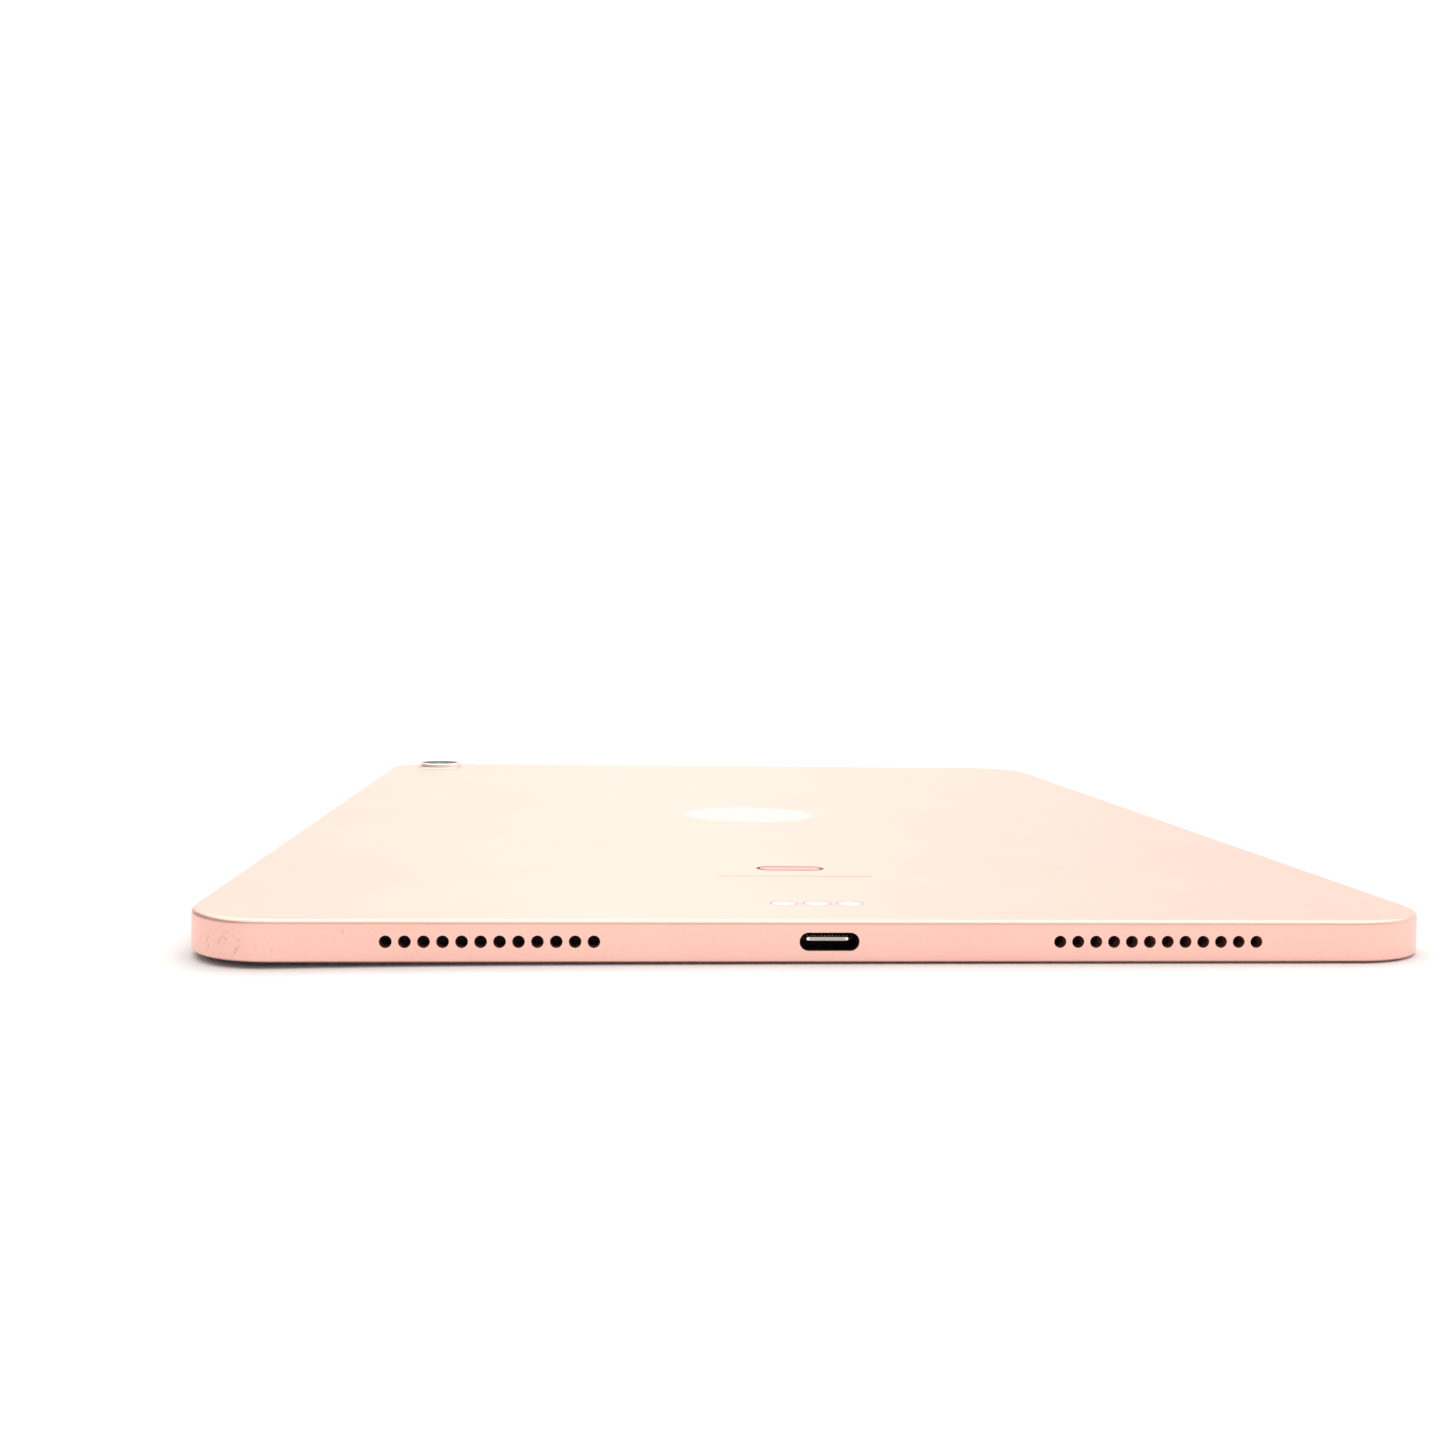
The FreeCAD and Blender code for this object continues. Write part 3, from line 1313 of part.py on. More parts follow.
def volume_buttons():
    for name in ("volume_up", "volume_down"):
        shape = ("volume_length", "volume_height", f"{name}_y")
        button(f"{name}_button", "YZ_Plane", LEFT_FACE, shape)


def top_switch():
    """The power button's dome, pressed flat, on a small circuit behind the button."""
    dome = side_drum(
        "top_dome", "switch_radius", "switch_dome", FreeCAD.Vector(1, 0, 0),
        ("power_x", f"{FAR_FACE} - {SWITCH_FACE}", "wall_middle"),
    )
    board = slab(
        "top_switch_board", ("2 * switch_margin", "switch_board", "switch_height"),
        ("power_x", f"{FAR_FACE} - {SWITCH_BACK} + switch_board / 2"),
        "wall_middle - switch_height / 2",
    )
    piece(fuse("top_switch_whole", dome, board), "top_switch")


def volume_switches():
    """Both volume buttons' domes, pressed flat, on one circuit."""
    domes = [
        side_drum(
            f"{name}_dome", "switch_radius", "switch_dome", FreeCAD.Vector(0, 1, 0),
            (f"{LEFT_FACE} + {SWITCH_FACE}", f"{name}_y", "wall_middle"),
        )
        for name in ("volume_up", "volume_down")
    ]
    board = slab(
        "volume_switch_board",
        ("switch_board", "volume_up_y - volume_down_y + 2 * switch_margin", "switch_height"),
        (f"{LEFT_FACE} + {SWITCH_BACK} - switch_board / 2", "(volume_up_y + volume_down_y) / 2"),
        "wall_middle - switch_height / 2",
    )
    piece(fuse("volume_switch_whole", *domes, board), "volume_switches")


def switch_brackets():
    """The steel plates that back the switches."""
    at_end = slab(
        "top_switch_plate", ("2 * switch_margin + 1", "switch_plate", "switch_height"),
        ("power_x", f"{FAR_FACE} - {SWITCH_BACK} - switch_plate / 2"),
        "wall_middle - switch_height / 2",
    )
    at_side = slab(
        "volume_switch_plate",
        ("switch_plate", "volume_up_y - volume_down_y + 2 * switch_margin + 3", "switch_height"),
        (f"{LEFT_FACE} + {SWITCH_BACK} + switch_plate / 2", "(volume_up_y + volume_down_y) / 2"),
        "wall_middle - switch_height / 2",
    )
    group("switch_brackets", [at_end, at_side])


# ---------------------------------------------------------------- stylus charger and magnets


def stylus_window():
    """The plastic strip that lets the charging field through the side wall."""
    body = new_body("stylus_window")
    outer = new_sketch(body, "window_strip", "YZ_Plane", LEFT_FACE)
    stadium(outer, "stylus_length", "stylus_height", "0", "wall_middle")
    pad(body, outer, "stylus_skin + 2 * slip")
    inner = new_sketch(body, "window_flange", "YZ_Plane", f"{LEFT_FACE} + stylus_skin + slip")
    stadium(
        inner, "stylus_length + 2 * stylus_lip", "stylus_height + 2 * stylus_lip", "0",
        "wall_middle",
    )
    pad(body, inner, "wall - stylus_skin - slip")


def stylus_coil():
    """A ferrite bar with one closed winding around it."""
    middle = (f"2 * slip + coil_width / 2 - {SIDE_INSIDE}", "0")
    wound = slab(
        "coil_winding", ("coil_width", "coil_length", "coil_height"), middle,
        "wall_middle - coil_height / 2",
    )
    core = slab(
        "coil_core",
        ("coil_width - 2 * core_inset", "core_length", "coil_height - 2 * core_inset"), middle,
        "wall_middle - coil_height / 2 + core_inset",
    )
    piece(fuse("coil_whole", core, wound), "stylus_coil")


def magnets():
    """Bars along both long sides: for a cover on the right, and for a stylus on the left."""
    bottom = f"{BEHIND_TRAY} + slip"
    cover = [
        slab(
            f"cover_magnet_{k}", ("cover_magnet_width", "cover_magnet_length", "magnet_height"),
            (f"{SIDE_INSIDE} - magnet_gap - cover_magnet_width / 2",
             f"({k} - (cover_magnet_count - 1) / 2) * cover_magnet_pitch"), bottom,
        )
        for k in range(int(number("cover_magnet_count")))
    ]
    group("cover_magnets", cover)
    stylus = [
        slab(
            f"stylus_magnet_{end}_{k}",
            ("stylus_magnet_width", "stylus_magnet_length", "magnet_height"),
            (f"magnet_gap + stylus_magnet_width / 2 - {SIDE_INSIDE}",
             f"{sign} * (stylus_magnet_start + {k} * stylus_magnet_pitch)"), bottom,
        )
        for end, sign in ENDS.items()
        for k in range(2)
    ]
    group("stylus_magnets", stylus)


# ---------------------------------------------------------------- power and electronics


def battery_middle(side):
    return f"{SIDES[side]} * (battery_inner + battery_width / 2)"


def battery_cell(side):
    """A flat pouch with rounded long edges and a thin end that carries its tabs."""
    body = new_body(f"battery_cell_{side}")
    middle = battery_middle(side)
    pouch = new_sketch(body, f"pouch_{side}", "XY_Plane", "battery_bottom")
    rounded_rectangle(
        pouch, "battery_width", "battery_length", "battery_corner", middle, "battery_y"
    )
    whole = pad(body, pouch, "battery_thick")
    front, back = flat_at("Z", "battery_bottom"), flat_at("Z", "battery_bottom + battery_thick")
    fillet(body, whole, "battery_round", lambda edge: front(edge) or back(edge))
    end = new_sketch(body, f"terrace_{side}", "XY_Plane", "terrace_bottom")
    rectangle(
        end, "battery_width - 2 * terrace_margin", "terrace + terrace_root", middle,
        "battery_y + battery_length / 2 + (terrace - terrace_root) / 2",
    )
    pad(body, end, "terrace_thick")


def battery_boards():
    """The small protection circuit on each cell's thin end."""
    members = [
        slab(
            f"guard_board_{side}", ("battery_width - 2 * guard_margin", "guard_depth", "guard_thick"),
            (battery_middle(side), "battery_y + battery_length / 2 + terrace - guard_depth / 2"),
            "terrace_bottom - guard_thick - slip",
        )
        for side in SIDES
    ]
    group("battery_boards", members)


def battery_adhesive():
    """Strips of adhesive that hold the cells to the back."""
    members = [
        slab(
            f"tape_{side}_{k}", ("tape_width", "battery_length - 2 * tape_margin", "tape_thick"),
            (f"{battery_middle(side)} + {share} * battery_width", "battery_y"),
            f"{CEILING} - tape_thick",
        )
        for side in SIDES
        for k, share in enumerate(("-0.25", "0.25"))
    ]
    group("battery_adhesive", members)


def logic_board():
    """The long narrow board between the cells."""
    body = new_body("logic_board")
    sketch = new_sketch(body, "board", "XY_Plane", "board_bottom")
    rounded_rectangle(sketch, "board_width", "board_length", "board_corner", "0", "board_y")
    for at in board_screw_places():
        circle(sketch, "ear_hole", *at)
    pad(body, sketch, "board_thick")


def processor():
    package = slab(
        "processor_package", ("processor_side", "processor_side", "processor_thick"),
        ("0", "processor_y"), "board_bottom - processor_thick",
    )
    piece(package, "processor")


def board_chips():
    """The other packages and sockets on the board's front face."""
    members = [
        slab(name, (along_x, along_y, "chip_thick"), (x, y), "board_bottom - chip_thick")
        for name, along_x, along_y, x, y in CHIPS
    ]
    group("board_chips", members)


def board_shield():
    """The thin steel can over the processor and its neighbours."""
    bottom = "board_bottom - can_height"
    outer = slab("can_outside", ("can_width", "can_length", "can_height"), ("0", "can_y"), bottom)
    inside = ("can_width - 2 * can_sheet", "can_length - 2 * can_sheet", "can_height")
    inner = slab("can_inside", inside, ("0", "can_y"), f"{bottom} + can_sheet")
    piece(cut("can_whole", outer, inner), "board_shield")


def antennas():
    """Moulded antenna carriers in two opposite corners."""
    members = [
        slab(
            f"antenna_{end}", ("antenna_width", "antenna_length", "antenna_thick"),
            (f"{sign} * antenna_x", f"{sign} * antenna_y"), f"{BEHIND_TRAY} + slip",
        )
        for end, sign in ENDS.items()
    ]
    group("antennas", members)


def standoffs():
    """Short threaded posts on the back, one for each screw."""
    members = []
    for k, at in enumerate(screw_places()):
        post = drum(f"post_{k}", "standoff_radius", f"{CEILING} - {EAR_TOP}", at, EAR_TOP)
        bore = drum(f"post_bore_{k}", "screw_radius + glue_gap", "back_wall", at, EAR_TOP)
        members.append(cut(f"standoff_{k}", post, bore))
    group("standoffs", members)


def screws():
    """Identical flat-headed screws with a slot."""
    members = []
    for k, at in enumerate(screw_places()):
        bottom = "board_bottom - screw_head_thick"
        head = drum(f"head_{k}", "screw_head", "screw_head_thick", at, bottom)
        shank = drum(f"shank_{k}", "screw_radius", "screw_length + screw_head_thick", at, bottom)
        slot = slab(
            f"screw_slot_{k}", ("screw_head * 1.3", "screw_slot", "screw_slot_depth"), at, bottom
        )
        members.append(cut(f"screw_{k}", fuse(f"screw_whole_{k}", head, shank), slot))
    group("screws", members)


# ---------------------------------------------------------------- checks and export


def check_document():
    """Stops if an object failed, a cut cut nothing, or a piece is not a set of valid solids."""
    for thing in doc.Objects:
        if "Invalid" in thing.State or "Error" in thing.State:
            raise RuntimeError(f"{thing.Name} failed: {thing.State}")
        if thing.TypeId in CUTS and thing.BaseFeature is not None:
            if thing.Shape.Volume > thing.BaseFeature.Shape.Volume - 1e-6:
                raise RuntimeError(f"{thing.Name} cuts nothing")
    labels = {made.Label for made in pieces}
    if len(labels) != len(pieces):
        raise RuntimeError("two pieces share a label")
    for made in pieces:
        shape = made.Shape
        if shape.isNull() or not shape.isValid() or not shape.Solids:
            raise RuntimeError(f"{made.Label} has no valid solid")


def export_pieces():
    os.makedirs(OUT_FOLDER, exist_ok=True)
    for made in pieces:
        made.Shape.exportStep(os.path.join(OUT_FOLDER, made.Label + ".step"))
    print(len(pieces), "pieces written")


def build():
    fill_sheet()
    rear_housing()
    rear_emblem()
    cover_glass()
    display_gasket()
    bezel_mask()
    optical_bond()
    display_cell()
    display_tray()
    light_guide()
    led_strip()
    display_flex()
    rear_lens_window()
    rear_lens_mask()
    rear_lens_barrel()
    rear_lens_element()
    rear_camera_body()
    rear_camera_bracket()
    rear_camera_flex()
    front_camera()
    light_sensor()
    microphones()
    speakers()
    port_shell()
    port_tongue()
    port_pins()
    port_gasket()
    port_bracket()
    port_flex()
    dock_contacts()
    dock_insulator()
    top_button()
    fingerprint_sensor()
    volume_buttons()
    top_switch()
    volume_switches()
    switch_brackets()
    stylus_window()
    stylus_coil()
    magnets()
    for side in SIDES:
        battery_cell(side)
    battery_boards()
    battery_adhesive()
    logic_board()
    processor()
    board_chips()
    board_shield()
    antennas()
    standoffs()
    screws()
    doc.recompute()
    check_document()
    export_pieces()


build()
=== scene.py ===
"""Looks for a thin tablet computer that lies face down: a rose aluminium back with one raised
camera and three flat contacts, a charging port between two rows of speaker holes, and glass below."""
import math

import bmesh
import bpy
from mathutils import Matrix, Vector


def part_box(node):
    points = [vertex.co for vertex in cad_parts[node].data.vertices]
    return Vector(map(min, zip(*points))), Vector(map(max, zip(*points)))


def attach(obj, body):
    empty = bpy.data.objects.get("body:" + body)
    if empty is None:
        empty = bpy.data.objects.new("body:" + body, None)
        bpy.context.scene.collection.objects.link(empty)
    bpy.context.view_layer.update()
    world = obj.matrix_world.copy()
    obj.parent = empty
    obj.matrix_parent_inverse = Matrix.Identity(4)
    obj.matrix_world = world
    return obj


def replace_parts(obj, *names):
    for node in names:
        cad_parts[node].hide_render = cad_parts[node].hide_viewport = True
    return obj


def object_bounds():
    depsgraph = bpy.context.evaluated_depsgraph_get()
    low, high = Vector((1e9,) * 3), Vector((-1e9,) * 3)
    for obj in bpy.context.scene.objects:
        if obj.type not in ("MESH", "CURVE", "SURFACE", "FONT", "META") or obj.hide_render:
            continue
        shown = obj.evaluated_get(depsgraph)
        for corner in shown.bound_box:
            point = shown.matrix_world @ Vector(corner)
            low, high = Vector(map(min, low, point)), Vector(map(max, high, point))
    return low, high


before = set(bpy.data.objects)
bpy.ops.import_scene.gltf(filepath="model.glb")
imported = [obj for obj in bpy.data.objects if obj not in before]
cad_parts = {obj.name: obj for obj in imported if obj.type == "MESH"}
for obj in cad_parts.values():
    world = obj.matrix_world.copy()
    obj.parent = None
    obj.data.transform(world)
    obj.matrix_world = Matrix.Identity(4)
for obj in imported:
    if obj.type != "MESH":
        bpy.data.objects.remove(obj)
cad_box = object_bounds()

MM = 0.001

# The camera, in millimetres and degrees in the row frame.
CAMERA_PLACE = (-31.93, -344.67, 46.42)
CAMERA_YAW = 4.305
CAMERA_PITCH = 3.382
CAMERA_ROLL = 0.841
CAMERA_LENS = 40.495

# Studio: places in metres, FLOOR_OPENING and FLOOR_DIP values in millimetres.
FLOOR_REACH = 0.95
FLOOR_GAP = 0.05 * MM
FLOOR_OPENING_INSET = 2.0
FLOOR_DIP = 0.95
FLOOR_DIP_REACH = 32.0
FLOOR_DIP_COVER = 4.0
FLOOR_RINGS = 16
CARD_HEIGHT = 0.22
CARD_ENDS = ((-0.38, -0.44), (-0.38, 0.24))
CARD_LEVEL = 0.34
LAMP_PLACE = (0.05, 0.15, 1.1)
LAMP_SIZE = (3.0, 2.0)
LAMP_POWER = 16.5
WORLD_LEVEL = 1.05
WORLD_GLOW_BEHIND = 0.95
WORLD_GLOW_FRONT = -0.50
WORLD_MIDDLE = 0.04

# Colours, linear.
ROSE = (0.955, 0.560, 0.478, 1.0)
ROSE_DEEP = (0.945, 0.545, 0.466, 1.0)
ROSE_SHADE = (0.52, 0.30, 0.22, 1.0)
# Pale raw-aluminium tone: real in the bead-blast speckle, a painted highlight on the camera's bump.
PALE_BEADS_AND_BUMP_HIGHLIGHT = (0.93, 0.88, 0.85, 1.0)
BUMP_POLISH = 0.10

# Handled spots, in millimetres from the housing's lower left corner, and how far each reaches.
HANDLED_CORNER = (9.0, 2.0, 2.2)
HANDLED_CORNER_REACH = (11.0, 6.0, 2.6)
HANDLED_HOLE = (23.0, 0.0, 4.3)
HANDLED_HOLE_REACH = (1.6, 1.0, 1.0)
BUMP_REACH = 10.5


class Nodes:
    """A node tree. Each call adds one node and returns its output."""

    def __init__(self, tree):
        self.tree = tree

    def add(self, kind, inputs, output=0, **settings):
        node = self.tree.nodes.new("ShaderNode" + kind)
        for title, value in settings.items():
            setattr(node, title, value)
        for key, value in inputs.items():
            self.join(node.inputs[key], value)
        return node.outputs[output]

    def join(self, socket, value):
        if isinstance(value, bpy.types.NodeSocket):
            self.tree.links.new(value, socket)
        else:
            socket.default_value = value

    def maths(self, operation, first, second=0.0):
        return self.add("Math", {0: first, 1: second}, operation=operation)

    def ramp(self, value, start, end, low=0.0, high=1.0):
        inputs = {0: value, 1: start, 2: end, 3: low, 4: high}
        return self.add("MapRange", inputs, interpolation_type="SMOOTHSTEP")


class Look(Nodes):
    """A material with one Principled shader. Sizes are in millimetres on the object."""

    def __init__(self, name, **values):
        self.material = bpy.data.materials.new(name)
        self.material.use_nodes = True
        super().__init__(self.material.node_tree)
        self.shader = self.tree.nodes["Principled BSDF"]
        for title, value in values.items():
            self.shader.inputs[title.replace("_", " ")].default_value = value

    def drive(self, **sockets):
        for title, value in sockets.items():
            self.join(self.shader.inputs[title.replace("_", " ")], value)

    def place(self, stretch=(1, 1, 1)):
        """The point on the object, with each axis divided by its stretch."""
        scale = tuple(1 / (MM * share) for share in stretch)
        point = self.add("TexCoord", {}, "Object")
        return self.add("VectorMath", {0: point, 1: scale}, operation="MULTIPLY")

    def along(self, axis):
        return self.add("SeparateXYZ", {0: self.place()}, "XYZ".index(axis))

    def noise(self, size, detail=2.0, stretch=(1, 1, 1), twist=0.0):
        inputs = {"Vector": self.place(stretch), "Scale": 1 / size, "Detail": detail, "Distortion": twist}
        return self.add("TexNoise", inputs)

    def cells(self, size, feature="F1", stretch=(1, 1, 1), spread=1.0):
        inputs = {"Vector": self.place(stretch), "Scale": 1 / size, "Randomness": spread}
        return self.add("TexVoronoi", inputs, "Distance", feature=feature)

    def stripes(self, axis, period, share=0.5):
        """1 on bands that repeat along an axis, 0 between them."""
        wave = self.maths("SINE", self.maths("MULTIPLY", self.along(axis), 2 * math.pi / period))
        edge = math.cos(math.pi * share)
        return self.ramp(wave, edge - 0.12, edge + 0.12)

    def around(self, point, reach):
        """1 at a point, falling to 0 at its reach along each axis."""
        away = self.add("VectorMath", {0: self.place(), 1: tuple(point)}, operation="SUBTRACT")
        share = self.add("VectorMath", {0: away, 1: tuple(reach)}, operation="DIVIDE")
        distance = self.add("VectorMath", {0: share}, "Value", operation="LENGTH")
        return self.ramp(distance, 0.3, 1.0, 1.0, 0.0)

    def blend(self, share, first, second):
        return self.add("Mix", {0: share, 6: first, 7: second}, 2, data_type="RGBA")

    def bump(self, height, strength, depth, under=None):
        inputs = {"Height": height, "Strength": strength, "Distance": depth * MM}
        if under:
            inputs["Normal"] = under
        return self.add("Bump", inputs)


def shaded(colour, share):
    """A colour made darker or lighter by a share."""
    return tuple(min(1.0, part * share) for part in colour[:3]) + (1.0,)


def grained(name, colour, size, contrast, stretch=(1, 1, 1), rough=(0.3, 0.45), depth=0.004, **values):
    """A surface with fine grain, drawn out along the stretch, and a slow change of tone."""
    look = Look(name, **values)
    grain = look.noise(size, 3.0, stretch)
    cloud = look.noise(size * 40, 2.0)
    tone = look.maths("ADD", look.maths("MULTIPLY", grain, 0.6), look.maths("MULTIPLY", cloud, 0.4))
    dark = shaded(colour, contrast)
    look.drive(Base_Color=look.blend(look.ramp(tone, 0.35, 0.65), dark, shaded(colour, 1.0)))
    look.drive(Roughness=look.ramp(tone, 0.3, 0.7, *rough))
    look.drive(Normal=look.bump(grain, 0.5, depth))
    return look


def metal(name, colour, size, contrast, stretch, rough, depth):
    """A grained surface of bare or plated metal."""
    return grained(name, colour, size, contrast, stretch, rough, depth, Metallic=1.0)


# ---- materials of the outside ---------------------------------------------------------------------


def housing_aluminium():
    """Bead-blasted, rose-anodised aluminium, handled at one lower corner, with a painted highlight on the
    upper part of the camera's bump.
    """
    look = Look("housing_aluminium_look", Metallic=1.0)
    low = cad_box[0] / MM
    cloud = look.noise(28.0, 2.0)
    beads = look.noise(0.16, 1.0)
    colour = look.blend(look.ramp(cloud, 0.35, 0.65), ROSE, ROSE_DEEP)
    colour = look.blend(look.ramp(beads, 0.3, 0.7, 0.0, 0.10), colour, PALE_BEADS_AND_BUMP_HIGHLIGHT)
    corner = look.around(low + Vector(HANDLED_CORNER), HANDLED_CORNER_REACH)
    hole = look.around(low + Vector(HANDLED_HOLE), HANDLED_HOLE_REACH)
    handled = look.maths("MAXIMUM", corner, hole)
    across = look.along("X")
    up = look.along("Z")
    rising = look.maths("MULTIPLY", look.maths("ADD", across, up), 0.2)
    slant = look.add("CombineXYZ", {0: rising, 2: look.maths("SUBTRACT", up, across)})
    strokes = look.add("TexNoise", {"Vector": slant, "Scale": 1.05, "Detail": 2.0})
    scratch = look.maths("MULTIPLY", look.ramp(strokes, 0.61, 0.68), handled)
    nick = look.maths("MULTIPLY", look.ramp(look.noise(0.9, 2.0), 0.64, 0.70), handled)
    worn = look.maths("MAXIMUM", scratch, nick)
    colour = look.blend(look.maths("MULTIPLY", worn, 0.36), colour, ROSE_SHADE)
    touch = look.noise(9.0, 3.0, (1, 1.6, 1), 0.8)
    rough = look.ramp(touch, 0.3, 0.7, 0.385, 0.405)
    ring = look.around(middle("rear_lens_window"), (BUMP_REACH,) * 3)
    back = corners("rear_emblem")[1].z
    # The bump's upper part is painted pale as a highlight; its lower roughness is real polish.
    bump_painted_highlight = look.maths("MULTIPLY", ring, look.ramp(look.along("Z"), back + 0.3, back + 0.8))
    colour = look.blend(look.maths("MULTIPLY", bump_painted_highlight, 0.8), colour, PALE_BEADS_AND_BUMP_HIGHLIGHT)
    rough = look.maths("SUBTRACT", rough, look.maths("MULTIPLY", ring, BUMP_POLISH))
    look.drive(Base_Color=colour, Roughness=rough)
    dents = look.bump(worn, 0.3, 0.02)
    look.drive(Normal=look.bump(beads, 0.22, 0.006, dents))
    return look


def emblem_metal():
    """Mirror-polished inlay with hairline wiping marks."""
    look = Look("emblem_metal_look", Metallic=1.0)
    hair = look.noise(0.5, 3.0, (14, 1, 1), 0.3)
    colour = look.blend(look.ramp(hair, 0.4, 0.7), (0.97, 0.91, 0.89, 1), (0.94, 0.86, 0.84, 1))
    look.drive(Base_Color=colour)
    look.drive(Roughness=look.ramp(hair, 0.35, 0.7, 0.05, 0.11))
    look.drive(Normal=look.bump(hair, 0.08, 0.001))
    return look


def cover_glass():
    """Clear strengthened glass with faint finger smears."""
    look = Look("cover_glass_look", Transmission_Weight=1.0, IOR=1.51)
    smear = look.noise(14.0, 4.0, (1, 2.2, 1), 1.2)
    colour = look.blend(look.ramp(smear, 0.4, 0.7), (0.97, 0.99, 0.98, 1), (0.93, 0.96, 0.95, 1))
    look.drive(Base_Color=colour)
    look.drive(Roughness=look.ramp(smear, 0.5, 0.75, 0.01, 0.09))
    return look


def bezel_print():
    """Black ink printed on the back of the glass."""
    return grained("bezel_print_look", (0.010, 0.010, 0.011), 0.2, 0.7, rough=(0.35, 0.5), depth=0.001)


def clear_adhesive():
    """Clear bond between glass and cell: it matches both, so it hardly reflects."""
    look = Look("clear_adhesive_look", IOR=1.05, Transmission_Weight=1.0)
    drift = look.noise(20.0, 2.0)
    look.drive(Base_Color=look.blend(drift, (0.96, 0.97, 0.98, 1), (0.99, 0.99, 0.99, 1)))
    look.drive(Roughness=look.ramp(drift, 0.3, 0.7, 0.0, 0.03))
    return look


def frame_adhesive():
    """Black foam tape with open pores."""
    look = grained("frame_adhesive_look", (0.02, 0.02, 0.021), 0.12, 0.5, rough=(0.8, 0.95), depth=0.02)
    look.drive(Normal=look.bump(look.cells(0.12), 0.7, 0.03))
    return look


def cell_glass(name, colour, sheen):
    """A sheet of the liquid crystal cell: rows and columns of picture elements under a polariser."""
    look = Look(name, IOR=1.5, Specular_IOR_Level=0.2, Coat_Weight=sheen, Coat_Roughness=0.03)
    grid = look.maths("MULTIPLY", look.stripes("X", 0.096, 0.75), look.stripes("Y", 0.096, 0.75))
    drift = look.noise(60.0, 2.0)
    dark = look.blend(look.ramp(drift, 0.3, 0.7), colour, shaded(colour, 1.6))
    look.drive(Base_Color=look.blend(grid, shaded(colour, 0.7), dark))
    look.drive(Roughness=look.ramp(drift, 0.3, 0.7, 0.16, 0.24))
    return look


def cell_front_glass():
    return cell_glass("cell_front_glass_look", (0.007, 0.008, 0.012, 1), 0.0)


def cell_rear_glass():
    return cell_glass("cell_rear_glass_look", (0.10, 0.10, 0.11, 1), 0.4)


def dock_metal():
    """Plated contact faces, polished, with rubbed spots."""
    look = metal("dock_metal_look", (0.98, 0.95, 0.92, 1), 0.3, 0.94, (1, 8, 1), (0.10, 0.20), 0.001)
    look.drive(Normal=look.bump(look.noise(0.4, 2.0, (1, 10, 1)), 0.06, 0.001))
    return look


def dock_insulator():
    """Pale moulded ring round each contact."""
    look = grained("dock_insulator_look", (0.55, 0.42, 0.40, 1), 0.15, 0.93, rough=(0.6, 0.75), depth=0.002)
    look.shader.inputs["Specular IOR Level"].default_value = 0.15
    return look


def stylus_plastic():
    """Moulded window in the side wall, painted to match the aluminium."""
    look = grained("stylus_plastic_look", (0.86, 0.47, 0.40, 1), 0.2, 0.95, rough=(0.38, 0.48), depth=0.003)
    look.shader.inputs["Coat Weight"].default_value = 0.25
    return look


def fingerprint_glass():
    """Dark tinted crystal, polished, in the power button."""
    tint = (0.16, 0.07, 0.06, 1)
    look = grained("fingerprint_glass_look", tint, 0.6, 0.8, rough=(0.05, 0.12), depth=0.0005)
    look.shader.inputs["Coat Weight"].default_value = 1.0
    return look


def port_steel():
    """Near-black steel shell and springs of the port, rubbed where a plug slides."""
    return metal("port_steel_look", (0.10, 0.085, 0.085, 1), 0.25, 0.6, (1, 7, 1), (0.28, 0.42), 0.002)


def port_plastic():
    """Black glass-filled moulding."""
    return grained("port_plastic_look", (0.016, 0.015, 0.016, 1), 0.10, 0.7, (1, 4, 1), (0.35, 0.5), 0.003)


def tongue_steel():
    """Bare steel edge of the tongue, brushed across its width."""
    return metal("tongue_steel_look", (0.56, 0.47, 0.46, 1), 0.2, 0.82, (9, 1, 1), (0.22, 0.34), 0.002)


def pin_gold():
    """Gold-plated contacts with a wiped track along each."""
    return metal("pin_gold_look", (0.95, 0.64, 0.26, 1), 0.12, 0.8, (1, 9, 1), (0.16, 0.3), 0.001)


def dust_mesh():
    """Black-coated steel wire."""
    black = (0.020, 0.019, 0.019, 1)
    return grained("dust_mesh_look", black, 0.05, 0.5, rough=(0.45, 0.6), depth=0.002, Metallic=0.4)


def lens_window():
    """Clear window with a coating that takes nearly all reflection away."""
    look = Look("lens_window_look", Transmission_Weight=1.0, IOR=1.03)
    haze = look.noise(3.0, 3.0, (1, 1.5, 1), 0.8)
    colour = look.blend(look.ramp(haze, 0.4, 0.7), (0.93, 0.90, 0.96, 1), (0.88, 0.86, 0.93, 1))
    look.drive(Base_Color=colour)
    look.drive(Roughness=look.ramp(haze, 0.5, 0.8, 0.0, 0.05))
    return look


def lens_print():
    """Black ring printed behind the camera's window, with a dark plum tone."""
    return grained("lens_print_look", (0.030, 0.018, 0.022, 1), 0.2, 0.7, rough=(0.3, 0.42), depth=0.001)


def lens_barrel():
    """Black-anodised lens barrel with turned grooves."""
    look = grained("lens_barrel_look", (0.028, 0.027, 0.030, 1), 0.1, 0.6, rough=(0.35, 0.5), depth=0.002)
    look.drive(Normal=look.bump(look.stripes("Z", 0.25, 0.5), 0.4, 0.01))
    return look


